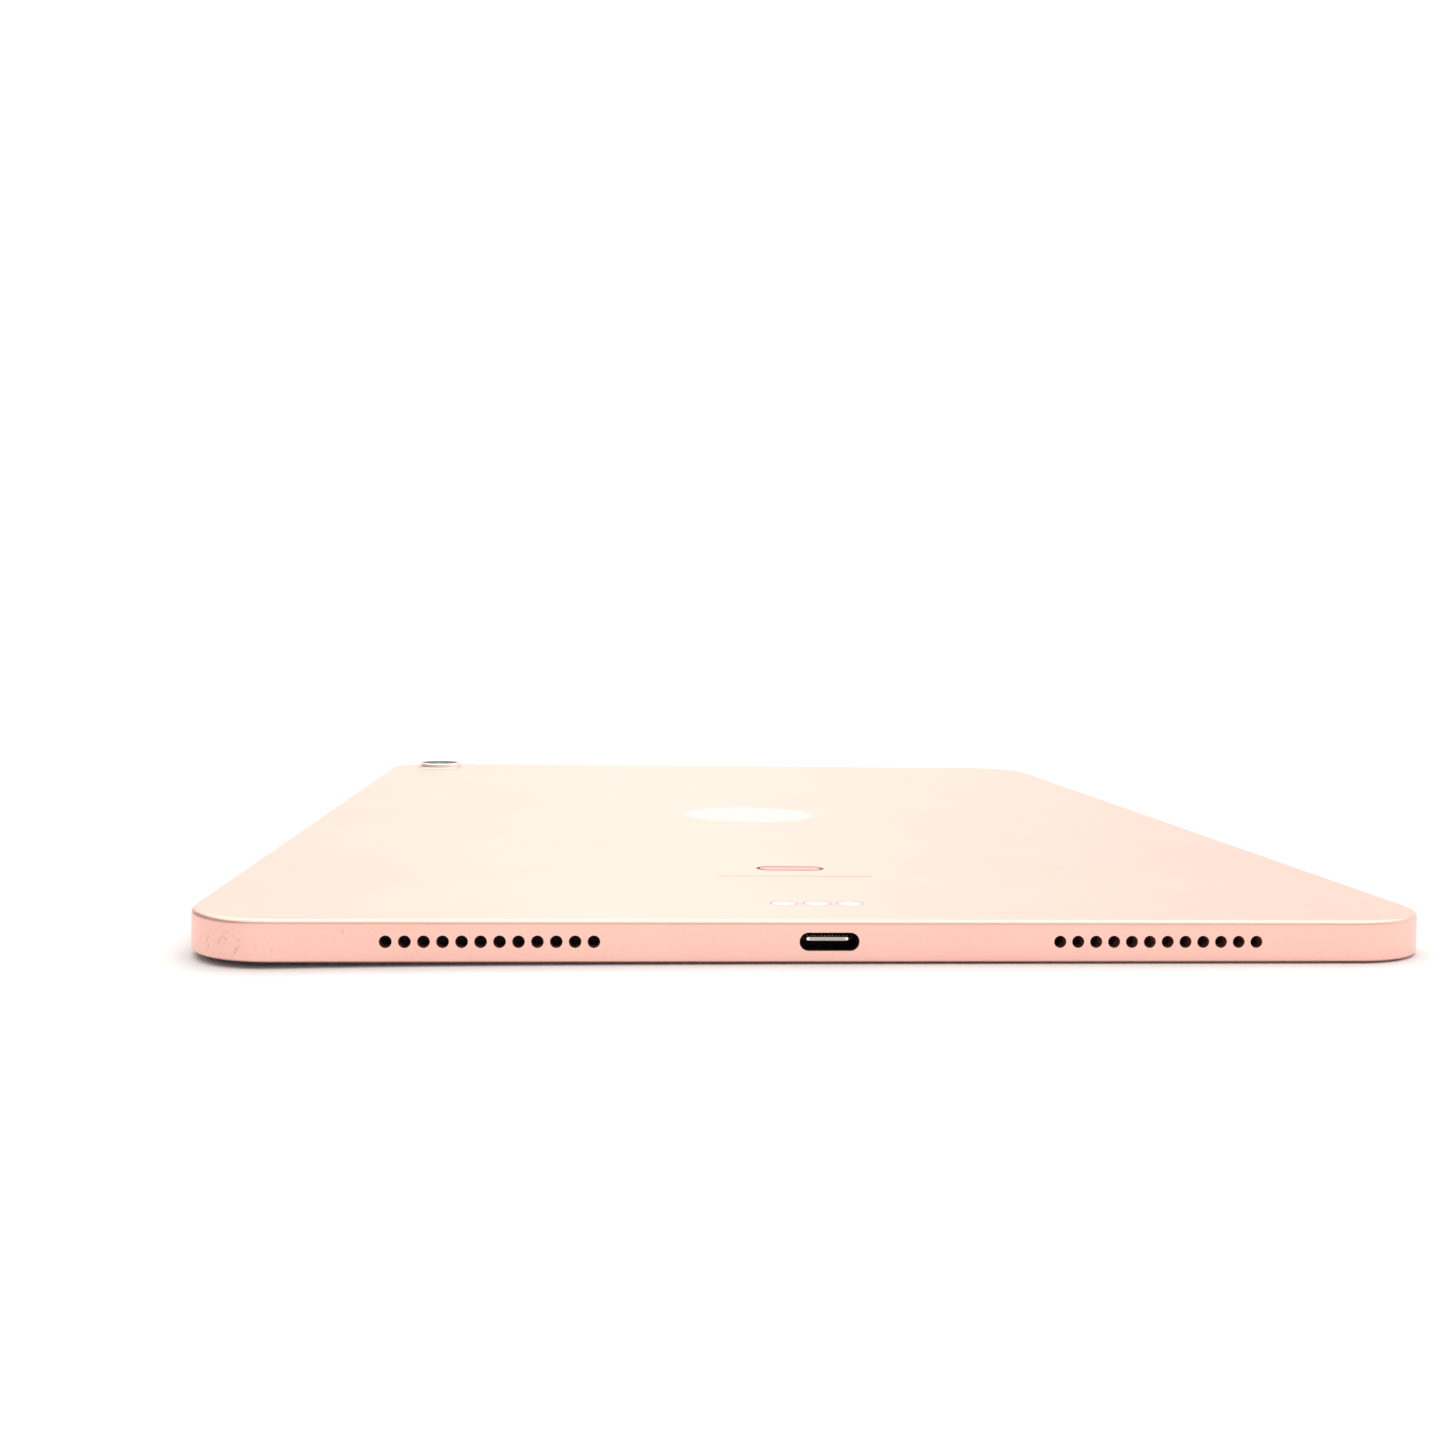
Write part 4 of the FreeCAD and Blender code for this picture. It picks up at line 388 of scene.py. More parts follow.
def lens_glass():
    """Coated front lens: deep, with a violet and green cast."""
    look = Look("lens_glass_look", IOR=1.7, Coat_Weight=1.0, Coat_Roughness=0.02)
    look.shader.inputs["Coat Tint"].default_value = (0.75, 0.62, 1.0, 1.0)
    rings = look.noise(2.2, 1.0)
    colour = look.blend(look.ramp(rings, 0.35, 0.65), (0.020, 0.010, 0.045, 1), (0.008, 0.030, 0.030, 1))
    look.drive(Base_Color=colour)
    look.drive(Roughness=look.ramp(rings, 0.3, 0.7, 0.02, 0.06))
    return look


def etched_line():
    """Shallow laser etching: burnt dark oxide with a matt grain."""
    return grained("etched_line_look", (0.17, 0.085, 0.075, 1), 0.05, 0.6, rough=(0.6, 0.8), depth=0.003)


def etched_fill():
    """Lightly etched patch, a shade pinker and more matt than the surface around it."""
    pink = (0.93, 0.47, 0.42, 1)
    return grained("etched_fill_look", pink, 0.08, 0.85, rough=(0.5, 0.62), depth=0.003, Metallic=0.9)


def seam_rubber():
    """Thin dark bead of sealant round the camera's window."""
    return grained("seam_rubber_look", (0.03, 0.02, 0.021, 1), 0.08, 0.6, rough=(0.5, 0.7), depth=0.003)


# ---- materials of the inside ----------------------------------------------------------------------


def light_guide():
    """Acrylic plate with a printed lattice of dots that scatter the light."""
    look = Look("light_guide_look", Transmission_Weight=0.6, IOR=1.49)
    dots = look.ramp(look.cells(0.6, spread=0.15), 0.16, 0.24, 1.0, 0.0)
    look.drive(Base_Color=look.blend(dots, (0.86, 0.90, 0.92, 1), (0.98, 0.98, 0.98, 1)))
    look.drive(Roughness=look.ramp(dots, 0.0, 1.0, 0.08, 0.7))
    look.drive(Normal=look.bump(dots, 0.3, 0.01))
    return look


def lamp_strip():
    """White strip with yellow phosphor windows in a row."""
    look = Look("lamp_strip_look", Roughness=0.5)
    window = look.stripes("Y", 4.0, 0.6)
    speck = look.noise(0.08, 2.0)
    phosphor = look.blend(speck, (0.85, 0.66, 0.10, 1), (0.95, 0.82, 0.25, 1))
    look.drive(Base_Color=look.blend(window, (0.82, 0.82, 0.80, 1), phosphor))
    look.drive(Roughness=look.ramp(speck, 0.3, 0.7, 0.4, 0.6))
    return look


def tray_steel():
    """Cold-rolled steel pan with rolling marks."""
    return metal("tray_steel_look", (0.62, 0.62, 0.63, 1), 0.4, 0.85, (1, 18, 1), (0.28, 0.42), 0.003)


def bracket_steel():
    """Stamped stainless steel, brushed one way."""
    return metal("bracket_steel_look", (0.66, 0.65, 0.63, 1), 0.2, 0.8, (14, 1, 1), (0.25, 0.4), 0.003)


def can_steel():
    """Tin-plated shielding can with a lattice of pressed dimples."""
    look = metal("can_steel_look", (0.74, 0.73, 0.70, 1), 0.3, 0.9, (1, 6, 1), (0.22, 0.36), 0.002)
    dimple = look.ramp(look.cells(2.4, spread=0.0), 0.12, 0.26, 1.0, 0.0)
    look.drive(Normal=look.bump(dimple, 0.5, 0.05))
    return look


def flex_film():
    """Amber film with copper tracks under it."""
    look = Look("flex_film_look", Coat_Weight=0.4, Coat_Roughness=0.15)
    track = look.maths("MAXIMUM", look.stripes("X", 0.5, 0.55), look.stripes("Y", 4.5, 0.05))
    haze = look.noise(2.0, 3.0)
    film = look.blend(haze, (0.42, 0.15, 0.02, 1), (0.55, 0.22, 0.04, 1))
    look.drive(Base_Color=look.blend(track, film, (0.72, 0.36, 0.12, 1)))
    look.drive(Roughness=look.ramp(haze, 0.3, 0.7, 0.3, 0.45))
    look.drive(Normal=look.bump(track, 0.4, 0.01))
    return look


def seal_rubber():
    """Grey silicone gasket, slightly dusty."""
    return grained("seal_rubber_look", (0.06, 0.06, 0.063, 1), 0.15, 0.7, rough=(0.6, 0.8), depth=0.006)


def camera_case():
    """Black-coated camera housing."""
    return grained("camera_case_look", (0.03, 0.03, 0.032, 1), 0.12, 0.6, rough=(0.4, 0.55), depth=0.004)


def sensor_case():
    """Plated lid of a small sensor."""
    return metal("sensor_case_look", (0.62, 0.52, 0.36, 1), 0.1, 0.8, (1, 5, 1), (0.25, 0.4), 0.002)


def speaker_plastic():
    """Moulded speaker box with a spark-eroded texture and flow marks."""
    black = (0.030, 0.030, 0.032, 1)
    look = grained("speaker_plastic_look", black, 0.25, 0.6, rough=(0.45, 0.62), depth=0.01)
    look.drive(Normal=look.bump(look.cells(0.35), 0.4, 0.015))
    return look


def cone_film():
    """Speaker cone of woven film with radial ribs."""
    look = grained("cone_film_look", (0.05, 0.05, 0.055, 1), 0.2, 0.6, rough=(0.35, 0.5), depth=0.005)
    weave = look.maths("MULTIPLY", look.stripes("X", 0.6), look.stripes("Y", 0.6))
    look.drive(Normal=look.bump(weave, 0.5, 0.03))
    return look


def switch_metal():
    """Pressed dome switch."""
    return metal("switch_metal_look", (0.76, 0.74, 0.70, 1), 0.12, 0.85, (1, 1, 5), (0.18, 0.3), 0.002)


def ferrite():
    """Dark sintered ferrite with copper windings round it."""
    look = grained("ferrite_look", (0.045, 0.04, 0.04, 1), 0.2, 0.6, rough=(0.5, 0.7), depth=0.01)
    turn = look.stripes("Y", 0.4, 0.7)
    look.drive(Base_Color=look.blend(turn, (0.045, 0.04, 0.04, 1), (0.52, 0.20, 0.08, 1)))
    look.drive(Normal=look.bump(turn, 0.6, 0.06))
    return look


def magnet_nickel():
    """Nickel-plated magnet, lapped."""
    return metal("magnet_nickel_look", (0.70, 0.68, 0.63, 1), 0.25, 0.85, (1, 6, 1), (0.14, 0.28), 0.002)


def antenna_carrier():
    """White carrier with plated tracks."""
    look = grained("antenna_carrier_look", (0.62, 0.62, 0.60, 1), 0.2, 0.85, rough=(0.45, 0.6), depth=0.004)
    track = look.maths("MULTIPLY", look.stripes("X", 3.0, 0.4), look.stripes("Y", 5.0, 0.8))
    look.drive(Base_Color=look.blend(track, (0.62, 0.62, 0.60, 1), (0.85, 0.55, 0.25, 1)))
    return look


def pouch_foil():
    """Laminated foil pouch: soft creases along its length, with painted shade darker in their hollows, and a
    brushed grey tone.
    """
    look = Look("pouch_foil_look", Metallic=0.85)
    crease = look.noise(9.0, 4.0, (1, 3.5, 1), 0.9)
    grain = look.noise(0.3, 2.0, (1, 12, 1))
    # Colour follows the crease height: painted shade, darker in the hollows.
    colour = look.blend(look.ramp(crease, 0.35, 0.65), (0.15, 0.15, 0.16, 1), (0.22, 0.22, 0.24, 1))
    look.drive(Base_Color=colour)
    look.drive(Roughness=look.ramp(grain, 0.3, 0.7, 0.32, 0.46))
    look.drive(Normal=look.bump(crease, 0.5, 0.25, look.bump(grain, 0.2, 0.003)))
    return look


def pull_tape():
    """White stretch-release tape."""
    return grained("pull_tape_look", (0.80, 0.80, 0.78, 1), 0.5, 0.9, (1, 8, 1), (0.4, 0.55), 0.01)


def board_laminate():
    """Blue-black solder mask over copper tracks, with plated holes."""
    look = Look("board_laminate_look", Coat_Weight=0.5, Coat_Roughness=0.12)
    track = look.ramp(look.cells(1.6, "DISTANCE_TO_EDGE", spread=0.4), 0.03, 0.06, 1.0, 0.0)
    hole = look.ramp(look.cells(1.1, spread=0.8), 0.08, 0.12, 1.0, 0.0)
    mask = look.blend(track, (0.006, 0.012, 0.030, 1), (0.012, 0.028, 0.060, 1))
    look.drive(Base_Color=look.blend(hole, mask, (0.80, 0.50, 0.18, 1)))
    look.drive(Roughness=look.ramp(look.noise(0.3), 0.3, 0.7, 0.3, 0.42))
    look.drive(Normal=look.bump(look.maths("ADD", track, hole), 0.4, 0.02))
    return look


def chip_plastic():
    """Epoxy package with a ground top."""
    return grained("chip_plastic_look", (0.022, 0.022, 0.024, 1), 0.15, 0.65, (1, 3, 1), (0.4, 0.55), 0.004)


def standoff_brass():
    """Turned brass."""
    return metal("standoff_brass_look", (0.80, 0.58, 0.27, 1), 0.2, 0.85, (1, 1, 0.3), (0.2, 0.32), 0.003)


def screw_steel():
    """Zinc-plated screw with turning marks."""
    return metal("screw_steel_look", (0.58, 0.57, 0.56, 1), 0.15, 0.8, (1, 1, 0.4), (0.24, 0.38), 0.003)


SLOT_LOOKS = (
    housing_aluminium, emblem_metal, cover_glass, bezel_print, clear_adhesive, frame_adhesive,
    cell_front_glass, cell_rear_glass, light_guide, lamp_strip, tray_steel, bracket_steel,
    can_steel, flex_film, dock_metal, dock_insulator, port_steel, port_plastic, pin_gold,
    seal_rubber, lens_window, lens_print, lens_barrel, lens_glass, camera_case, sensor_case,
    fingerprint_glass, speaker_plastic, cone_film, dust_mesh, switch_metal, stylus_plastic, ferrite,
    magnet_nickel, antenna_carrier, pouch_foil, pull_tape, board_laminate, chip_plastic,
    standoff_brass, screw_steel,
)


# ---- mesh helpers, all in millimetres -------------------------------------------------------------


def middle(node):
    """Centre of a CAD node's box."""
    lo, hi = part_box(node)
    return (lo + hi) / 2 / MM


def corners(node):
    """Lowest and highest corner of a CAD node."""
    lo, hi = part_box(node)
    return lo / MM, hi / MM


def solids(node):
    """Lowest and highest corner of each separate solid of a CAD node."""
    shape = bmesh.new()
    shape.from_mesh(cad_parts[node].data)
    bmesh.ops.remove_doubles(shape, verts=shape.verts, dist=1e-7)
    waiting = set(shape.verts)
    found = []
    while waiting:
        island = []
        edge = [waiting.pop()]
        while edge:
            point = edge.pop()
            island.append(point.co / MM)
            for line in point.link_edges:
                other = line.other_vert(point)
                if other in waiting:
                    waiting.remove(other)
                    edge.append(other)
        found.append((Vector(map(min, zip(*island))), Vector(map(max, zip(*island)))))
    shape.free()
    return sorted(found, key=lambda box: tuple(round(part, 3) for part in box[0]))


def arc(centre, radius, start, sweep, sides):
    """Points along an arc, anticlockwise from a start angle in degrees."""
    angles = [math.radians(start + sweep * step / sides) for step in range(sides + 1)]
    return [(centre[0] + radius * math.cos(angle), centre[1] + radius * math.sin(angle)) for angle in angles]


def circle(radius, sides):
    """Points of a level circle about the origin."""
    angles = [2 * math.pi * side / sides for side in range(sides)]
    return [Vector((math.cos(angle), math.sin(angle), 0)) * radius for angle in angles]


class Piece:
    """A mesh that is filled in millimetres and then becomes one named object of the row."""

    def __init__(self):
        self.shape = bmesh.new()

    def skin(self, rows, close_row=True, close_rows=False, caps=True):
        """Joins rows of points into a skin, and closes its two ends."""
        rings = [[self.shape.verts.new(Vector(point) * MM) for point in row] for row in rows]
        count = len(rings[0])
        last = len(rings) if close_rows else len(rings) - 1
        for first in range(last):
            ring, following = rings[first], rings[(first + 1) % len(rings)]
            for index in range(count if close_row else count - 1):
                step = (index + 1) % count
                self.shape.faces.new((ring[index], ring[step], following[step], following[index]))
        if caps and not close_rows:
            self.shape.faces.new(list(reversed(rings[0])))
            self.shape.faces.new(rings[-1])

    def lathe(self, profile, centre, sides=64):
        """Turns a closed profile of (radius, height) points about a vertical axis."""
        rows = []
        for across in circle(1.0, sides):
            row = [across * radius + Vector((0, 0, height)) for radius, height in profile]
            rows.append([Vector(centre) + point for point in row])
        self.skin(rows, close_rows=True)

    def dome(self, profile, centre, sides):
        """Stacks level rings of (radius, height) about a vertical axis, and closes both ends."""
        rows = []
        for radius, height in profile:
            rows.append([Vector(centre) + Vector((rim.x, rim.y, height)) for rim in circle(radius, sides)])
        self.skin(rows)

    def plate(self, outline, low, high, bevel=0.0):
        """A flat plate on an outline of (x, y) points, with its two rims drawn in by the bevel."""
        levels = [(low, 0.0), (high, 0.0)]
        if bevel:
            levels = [(low, bevel), (low + bevel, 0.0), (high - bevel, 0.0), (high, bevel)]
        self.skin([[(x, y, z) for x, y in inset(outline, amount)] for z, amount in levels])

    def wire(self, path, radius, sides=5):
        """A round wire along a path of points."""
        rows = []
        for index, point in enumerate(path):
            ahead = Vector(path[min(index + 1, len(path) - 1)]) - Vector(path[max(index - 1, 0)])
            turned = ahead.to_track_quat("Z", "Y")
            rows.append([Vector(point) + turned @ rim for rim in circle(radius, sides)])
        self.skin(rows)

    def make(self, name, look, body="chassis", smooth=40.0):
        bmesh.ops.recalc_face_normals(self.shape, faces=self.shape.faces)
        data = bpy.data.meshes.new(name)
        self.shape.to_mesh(data)
        self.shape.free()
        data.materials.append(look)
        made = bpy.data.objects.new(name, data)
        bpy.context.scene.collection.objects.link(made)
        data.shade_smooth()
        data.set_sharp_from_angle(angle=math.radians(smooth))
        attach(made, body)
        return made


def inset(outline, amount):
    """An outline of (x, y) points, anticlockwise, moved inwards."""
    if not amount:
        return outline
    moved = []
    for index, point in enumerate(outline):
        before = Vector(outline[index - 1])
        after = Vector(outline[(index + 1) % len(outline)])
        into = Vector(point) - before
        out = after - Vector(point)
        side = Vector((-into.y, into.x)).normalized() + Vector((-out.y, out.x)).normalized()
        moved.append(tuple(Vector(point) + side.normalized() * amount))
    return moved


def capsule(centre, width, height, sides=16):
    """Outline of a bar with round ends, anticlockwise."""
    radius = height / 2
    reach = width / 2 - radius
    right = arc((centre[0] + reach, centre[1]), radius, -90, 180, sides)
    left = arc((centre[0] - reach, centre[1]), radius, 90, 180, sides)
    return right + left


def rounded_box(width, height, radius, sides=8):
    """Outline of a rectangle with round corners about the origin, anticlockwise."""
    points = []
    for across, up, start in ((1, -1, -90), (1, 1, 0), (-1, 1, 90), (-1, -1, 180)):
        centre = (across * (width / 2 - radius), up * (height / 2 - radius))
        points += arc(centre, radius, start, 90, sides)
    return points


# ---- detail pieces --------------------------------------------------------------------------------


WIRE_PITCH = 0.36
WIRE_RADIUS = 0.034


def woven_screen(piece, low, high, depth):
    """Plain-woven wire cloth in the XZ plane between two corners, centred on a depth along Y."""
    step = WIRE_PITCH / 4
    across = int((high.x - low.x) / WIRE_PITCH)
    up = int((high.z - low.z) / WIRE_PITCH)
    for column in range(across + 1):
        x = low.x + column * WIRE_PITCH
        points = int((high.z - low.z) / step)
        piece.wire([(x, depth + wave(index * step, column), low.z + index * step) for index in range(points)],
                   WIRE_RADIUS)
    for row in range(up + 1):
        z = low.z + row * WIRE_PITCH
        points = int((high.x - low.x) / step)
        piece.wire([(low.x + index * step, depth - wave(index * step, row), z) for index in range(points)],
                   WIRE_RADIUS)


def wave(distance, wire):
    """How far a woven wire stands off the cloth's middle: over one neighbour and under the next."""
    return WIRE_RADIUS * 1.05 * math.cos(math.pi * (distance / WIRE_PITCH + wire))


def speaker_cloths(looks):
    """Woven wire cloth behind each row of speaker holes."""
    names = ("speaker_cloth_lower_left", "speaker_cloth_upper_left",
             "speaker_cloth_lower_right", "speaker_cloth_upper_right")
    for name, (low, high) in zip(names, solids("speaker_meshes")):
        piece = Piece()
        woven_screen(piece, low, high, (low.y + high.y) / 2)
        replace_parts(piece.make(name, looks["dust_mesh"]), "speaker_meshes")


def tongue_reach():
    """Half width of the port's tongue, and how far out its tip comes."""
    low = corners("port_tongue")[0]
    front = [vertex.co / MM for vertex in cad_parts["port_tongue"].data.vertices
             if vertex.co.y / MM < low.y + 1.5]
    return max(point.x for point in front), low.y


def port_tongue_plate(looks):
    """Steel plate inside the tongue: its latch edges stand a hair proud of both sides."""
    half, tip = tongue_reach()
    proud = 0.05
    notch = 0.22
    side = [(half + proud, tip + 0.55), (half + proud, tip + 1.30), (half + proud - notch, tip + 1.42),
            (half + proud - notch, tip + 2.15), (half + proud, tip + 2.27), (half + proud, tip + 3.6)]
    outline = side + [(-x, y) for x, y in reversed(side)]
    height = middle("port_tongue").z
    piece = Piece()
    piece.plate(outline, height - 0.07, height + 0.07, 0.015)
    piece.make("port_latch_plate", looks["tongue_steel"])


def port_tongue_edge(looks):
    """Bright steel strip across the tongue's tip, with a polished rivet at each end."""
    half, tip = tongue_reach()
    height = middle("port_tongue").z
    flat = half - 0.38
    piece = Piece()
    outline = capsule((0, height), 2 * flat, 0.52, 6)
    levels = ((tip + 0.02, 0.0), (tip - 0.015, 0.0), (tip - 0.03, 0.015))
    piece.skin([[(x, y, z) for x, z in inset(outline, amount)] for y, amount in levels])
    piece.make("port_tongue_edge", looks["tongue_steel"])
    rivets = Piece()
    for sign in (-1, 1):
        centre = Vector((sign * (flat - 0.24), tip - 0.02, height))
        rows = []
        for step in range(6):
            angle = math.radians(90 * step / 6)
            radius = 0.24 * math.cos(angle)
            depth = -0.03 * math.sin(angle)
            rows.append([centre + Vector((rim.x, depth, rim.y)) for rim in circle(radius, 20)])
        rivets.skin(rows)
    rivets.make("port_tongue_rivets", looks["dock_metal"])


def port_springs(looks):
    """Grounding springs: two bowed strips in the roof of the port's shell and two in its floor."""
    low, high = corners("port_shell")
    height = (low.z + high.z) / 2
    inner = (high.z - low.z) / 2 - 0.30
    piece = Piece()
    for up in (-1, 1):
        for across in (-1, 1):
            rows = []
            for step in range(13):
                share = step / 12
                bow = 0.14 * math.sin(math.pi * share)
                y = low.y + 1.5 + 3.0 * share
                z = height + up * (inner - 0.01 - bow)
                half = 0.55 - 0.2 * share
                x = across * 1.9
                rows.append([(x - half, y, z), (x + half, y, z), (x + half, y, z + up * 0.05),
                             (x - half, y, z + up * 0.05)])
            piece.skin(rows)
    piece.make("port_springs", looks["port_steel"])


def etched_mark(looks):
    """A plain capsule and a fine dashed rule etched in the back, above the contacts."""
    back = corners("rear_emblem")[1].z
    centre = (0.0, corners("rear_housing")[0].y * 0.612)
    border = Piece()
    outer = capsule(centre, 11.4, 4.6, 16)
    inner = inset(outer, 0.62)
    lift = 0.008
    rows = [[(x, y, back - lift) for x, y in outer], [(x, y, back + lift) for x, y in outer],
            [(x, y, back + lift) for x, y in inner], [(x, y, back - lift) for x, y in inner]]
    border.skin(rows, close_rows=True)
    border.make("etched_capsule", looks["etched_line"])
    fill = Piece()
    fill.plate(inset(outer, 0.6), back - lift, back + lift / 2)
    fill.make("etched_capsule_fill", looks["etched_fill"])
    rule = Piece()
    for step in range(21):
        x = (step - 10) * 1.2
        rule.plate(capsule((x, centre[1] - 8.6), 1.1, 0.2, 4), back - lift, back + lift)
    rule.make("etched_rule", looks["etched_line"])


def camera_seal(looks):
    """Thin dark bead in the gap round the camera's window."""
    low, high = corners("rear_lens_window")
    centre = (*middle("rear_lens_window").xy, 0)
    outer = (high.x - low.x) / 2
    top = high.z
    profile = [(outer - 0.06, top + 0.012), (outer + 0.05, top + 0.012), (outer + 0.07, top - 0.02),
               (outer - 0.08, top - 0.02)]
    piece = Piece()
    piece.lathe(profile, centre, 96)
    piece.make("camera_window_seal", looks["seam_rubber"])


def lens_front(looks):
    """Stepped black hood and the small front lens that move with the barrel."""
    top = corners("rear_lens_barrel")[1].z
    centre = (*middle("rear_lens_barrel").xy, 0)
    steps = 4
    profile = [(2.75, top - 0.02), (2.75, top + 0.10), (2.15, top + 0.12)]
    for step in range(steps):
        radius = 2.10 - 0.16 * step
        height = top + 0.10 - 0.03 * step
        profile += [(radius, height), (radius - 0.10, height - 0.03)]
    profile += [(1.42, top - 0.02)]
    hood = Piece()
    hood.lathe(profile, centre, 72)
    hood.make("rear_lens_hood", looks["lens_barrel"], "rear_lens")
    dome = Piece()
    reach = 1.5
    profile = [(reach, top - 0.05)]
    for step in range(9):
        angle = math.radians(90 * step / 9)
        profile.append((reach * math.cos(angle), top - 0.03 + 0.13 * math.sin(angle)))
    dome.dome(profile, centre, 48)
    dome.make("rear_lens_dome", looks["lens_glass"], "rear_lens")


def front_camera_lens(looks):
    """Ring and small lens of the front camera, behind the glass."""
    centre = (*middle("front_camera").xy, 0)
    face = corners("front_camera")[0].z
    ring = Piece()
    section = [(1.35, face + 0.01), (1.35, face - 0.05), (1.05, face - 0.04), (0.85, face + 0.01)]
    ring.lathe(section, centre, 48)
    ring.make("front_camera_ring", looks["lens_barrel"])
    dome = Piece()
    profile = [(0.86, 0.02), (0.84, -0.02), (0.62, -0.045), (0.32, -0.06), (0.05, -0.065)]
    dome.dome([(radius, face + height) for radius, height in profile], centre, 32)
    dome.make("front_camera_lens", looks["lens_glass"])


# ---- studio ---------------------------------------------------------------------------------------


def make_camera():
    data = bpy.data.cameras.new("camera")
    data.sensor_width = 36.0
    data.lens = CAMERA_LENS
    data.clip_start = 0.005
    camera = bpy.data.objects.new("camera", data)
    turn = (Matrix.Rotation(math.radians(-CAMERA_YAW), 4, "Z")
            @ Matrix.Rotation(math.radians(90 - CAMERA_PITCH), 4, "X")
            @ Matrix.Rotation(math.radians(CAMERA_ROLL), 4, "Z"))
    camera.matrix_world = Matrix.Translation(Vector(CAMERA_PLACE) * MM) @ turn
    bpy.context.scene.collection.objects.link(camera)
    bpy.context.scene.camera = camera


def floor_look():
    """Matt white card, seen through from below so that the screen can be looked at."""
    look = Look("floor_card", Roughness=0.9)
    fibre = look.noise(3.0, 3.0)
    look.drive(Base_Color=look.blend(fibre, (0.80, 0.80, 0.80, 1), (0.83, 0.83, 0.83, 1)))
    clear = look.add("BsdfTransparent", {})
    below = look.add("NewGeometry", {}, "Backfacing")
    mixed = look.add("MixShader", {0: below, 1: look.shader.outputs[0], 2: clear})
    look.tree.links.new(mixed, look.tree.nodes["Material Output"].inputs["Surface"])
    return look.material


def dip_share(x, y):
    """1 at the tablet's lower left corner, where the floor dips and leaves a gap, fading around it."""
    low = cad_box[0] / MM
    return math.exp(-math.hypot(x - low.x, y - low.y) / FLOOR_DIP_REACH)


def floor_opening():
    """Outline just inside the tablet's own, and further inside where the floor dips."""
    low, high = cad_box
    width = (high.x - low.x) / MM
    height = (high.y - low.y) / MM
    sparse = rounded_box(width, height, 18.0)
    outline = []
    for index, point in enumerate(sparse):
        ahead = Vector(sparse[(index + 1) % len(sparse)])
        steps = max(1, round((ahead - Vector(point)).length / 5))
        outline += [tuple(Vector(point).lerp(ahead, step / steps)) for step in range(steps)]
    deep = inset(outline, FLOOR_OPENING_INSET + FLOOR_DIP_COVER)
    shallow = inset(outline, FLOOR_OPENING_INSET)
    return [Vector(near).lerp(Vector(far), dip_share(*near)) for near, far in zip(shallow, deep)]


def make_floor():
    """Wide floor, open where the tablet covers it, so that its screen has light to reflect."""
    level = cad_box[0].z - FLOOR_GAP
    shape = bmesh.new()
    rings = []
    for ring in range(FLOOR_RINGS + 1):
        rings.append([])
        for point in floor_opening():
            place = point.lerp(point.normalized() * (FLOOR_REACH / MM), (ring / FLOOR_RINGS) ** 3)
            drop = FLOOR_DIP * dip_share(*place) * MM
            rings[-1].append(shape.verts.new((place.x * MM, place.y * MM, level - drop)))
    for inner, outer in zip(rings, rings[1:]):
        for index in range(len(inner)):
            step = (index + 1) % len(inner)
            shape.faces.new((inner[step], inner[index], outer[index], outer[step]))
    data = bpy.data.meshes.new("floor")
    shape.normal_update()
    shape.to_mesh(data)
    shape.free()
    data.shade_smooth()
    data.materials.append(floor_look())
    floor = bpy.data.objects.new("floor", data)
    bpy.context.scene.collection.objects.link(floor)


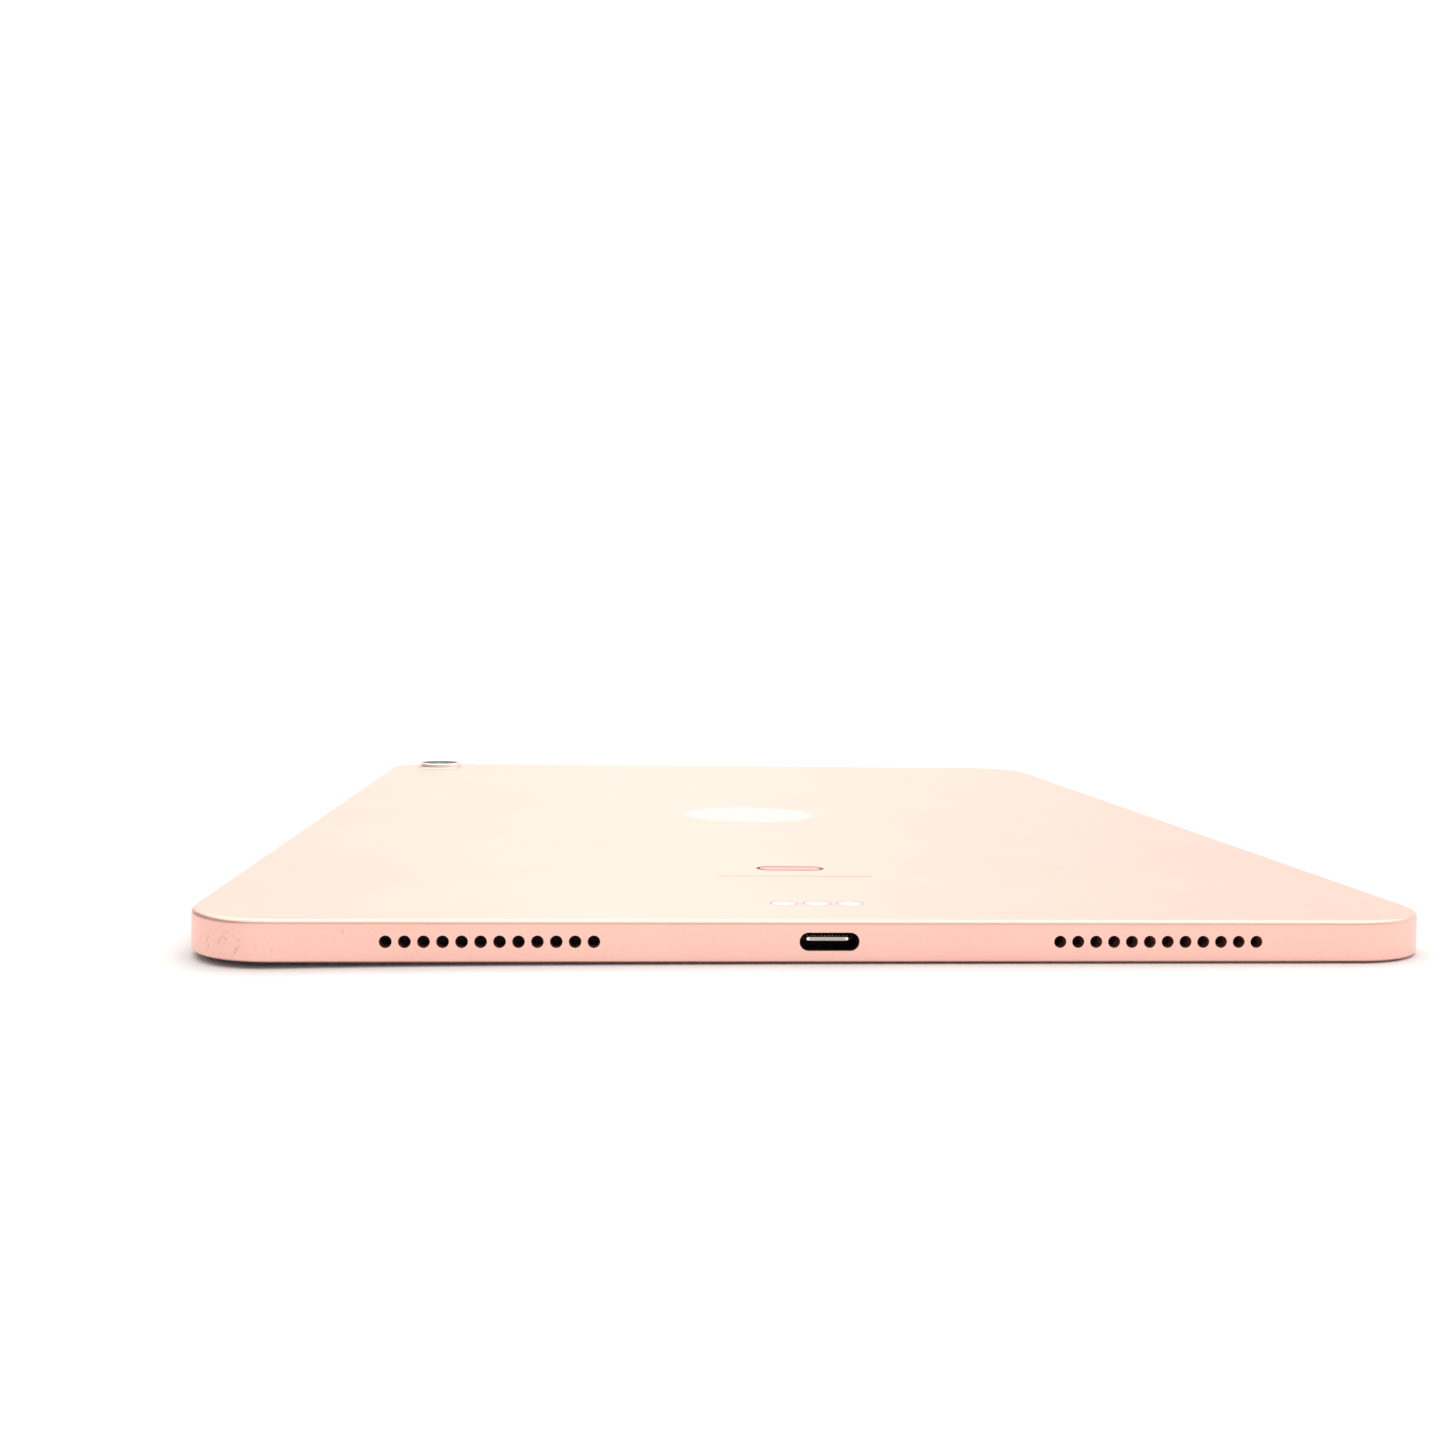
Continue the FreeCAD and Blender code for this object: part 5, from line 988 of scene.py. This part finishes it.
def make_world():
    """Soft white surround: brighter in a patch behind the tablet, dimmer in a band in front of it."""
    world = bpy.data.worlds.new("surround")
    bpy.context.scene.world = world
    world.use_nodes = True
    nodes = Nodes(world.node_tree)
    way = nodes.add("TexCoord", {}, "Generated")
    across, forward, up = [nodes.add("SeparateXYZ", {0: way}, axis) for axis in range(3)]
    off_middle = nodes.maths("ABSOLUTE", nodes.maths("SUBTRACT", across, WORLD_MIDDLE))
    behind = (nodes.ramp(up, 0.18, 0.44), nodes.ramp(up, 0.44, 0.72, 1.0, 0.0), nodes.ramp(forward, 0.0, 0.5),
              nodes.ramp(off_middle, 0.0, 0.36, WORLD_GLOW_BEHIND, 0.0))
    front = (nodes.ramp(up, 0.22, 0.42), nodes.ramp(up, 0.62, 0.80, 1.0, 0.0),
             nodes.ramp(forward, -0.5, -0.1, WORLD_GLOW_FRONT, 0.0))
    light = WORLD_LEVEL
    for shares in (behind, front):
        glow = shares[0]
        for share in shares[1:]:
            glow = nodes.maths("MULTIPLY", glow, share)
        light = nodes.maths("ADD", light, glow)
    background = world.node_tree.nodes["Background"]
    world.node_tree.links.new(light, background.inputs["Strength"])
    background.inputs["Color"].default_value = (1.0, 0.985, 0.955, 1.0)


def make_lamp():
    """One large softbox overhead."""
    data = bpy.data.lights.new("softbox", "AREA")
    data.shape = "RECTANGLE"
    data.size, data.size_y = LAMP_SIZE
    data.energy = LAMP_POWER
    lamp = bpy.data.objects.new("softbox", data)
    lamp.location = LAMP_PLACE
    lamp.rotation_euler = (-Vector(LAMP_PLACE)).to_track_quat("-Z", "Y").to_euler()
    bpy.context.scene.collection.objects.link(lamp)


def make_card():
    """Grey card standing to the left, to darken what the left corner and the camera's rim reflect."""
    start, end = CARD_ENDS
    data = bpy.data.meshes.new("left_card")
    points = [(*start, 0), (*end, 0), (*end, CARD_HEIGHT), (*start, CARD_HEIGHT)]
    data.from_pydata(points, [], [(0, 1, 2, 3)])
    look = Look("left_card", Roughness=1.0, Base_Color=(0, 0, 0, 1), Emission_Strength=CARD_LEVEL)
    look.shader.inputs["Emission Color"].default_value = (1, 1, 1, 1)
    data.materials.append(look.material)
    card = bpy.data.objects.new("left_card", data)
    card.visible_camera = False
    bpy.context.scene.collection.objects.link(card)


make_camera()
make_floor()
make_card()
make_world()
make_lamp()
bpy.context.scene.view_settings.view_transform = "Standard"

looks = {made.__name__: made().material for made in SLOT_LOOKS}
for extra in (tongue_steel, etched_line, etched_fill, seam_rubber):
    looks[extra.__name__] = extra().material
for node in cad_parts.values():
    node.material_slots[0].material = looks[node.material_slots[0].material.name]

speaker_cloths(looks)
port_tongue_plate(looks)
port_tongue_edge(looks)
port_springs(looks)
etched_mark(looks)
camera_seal(looks)
lens_front(looks)
front_camera_lens(looks)
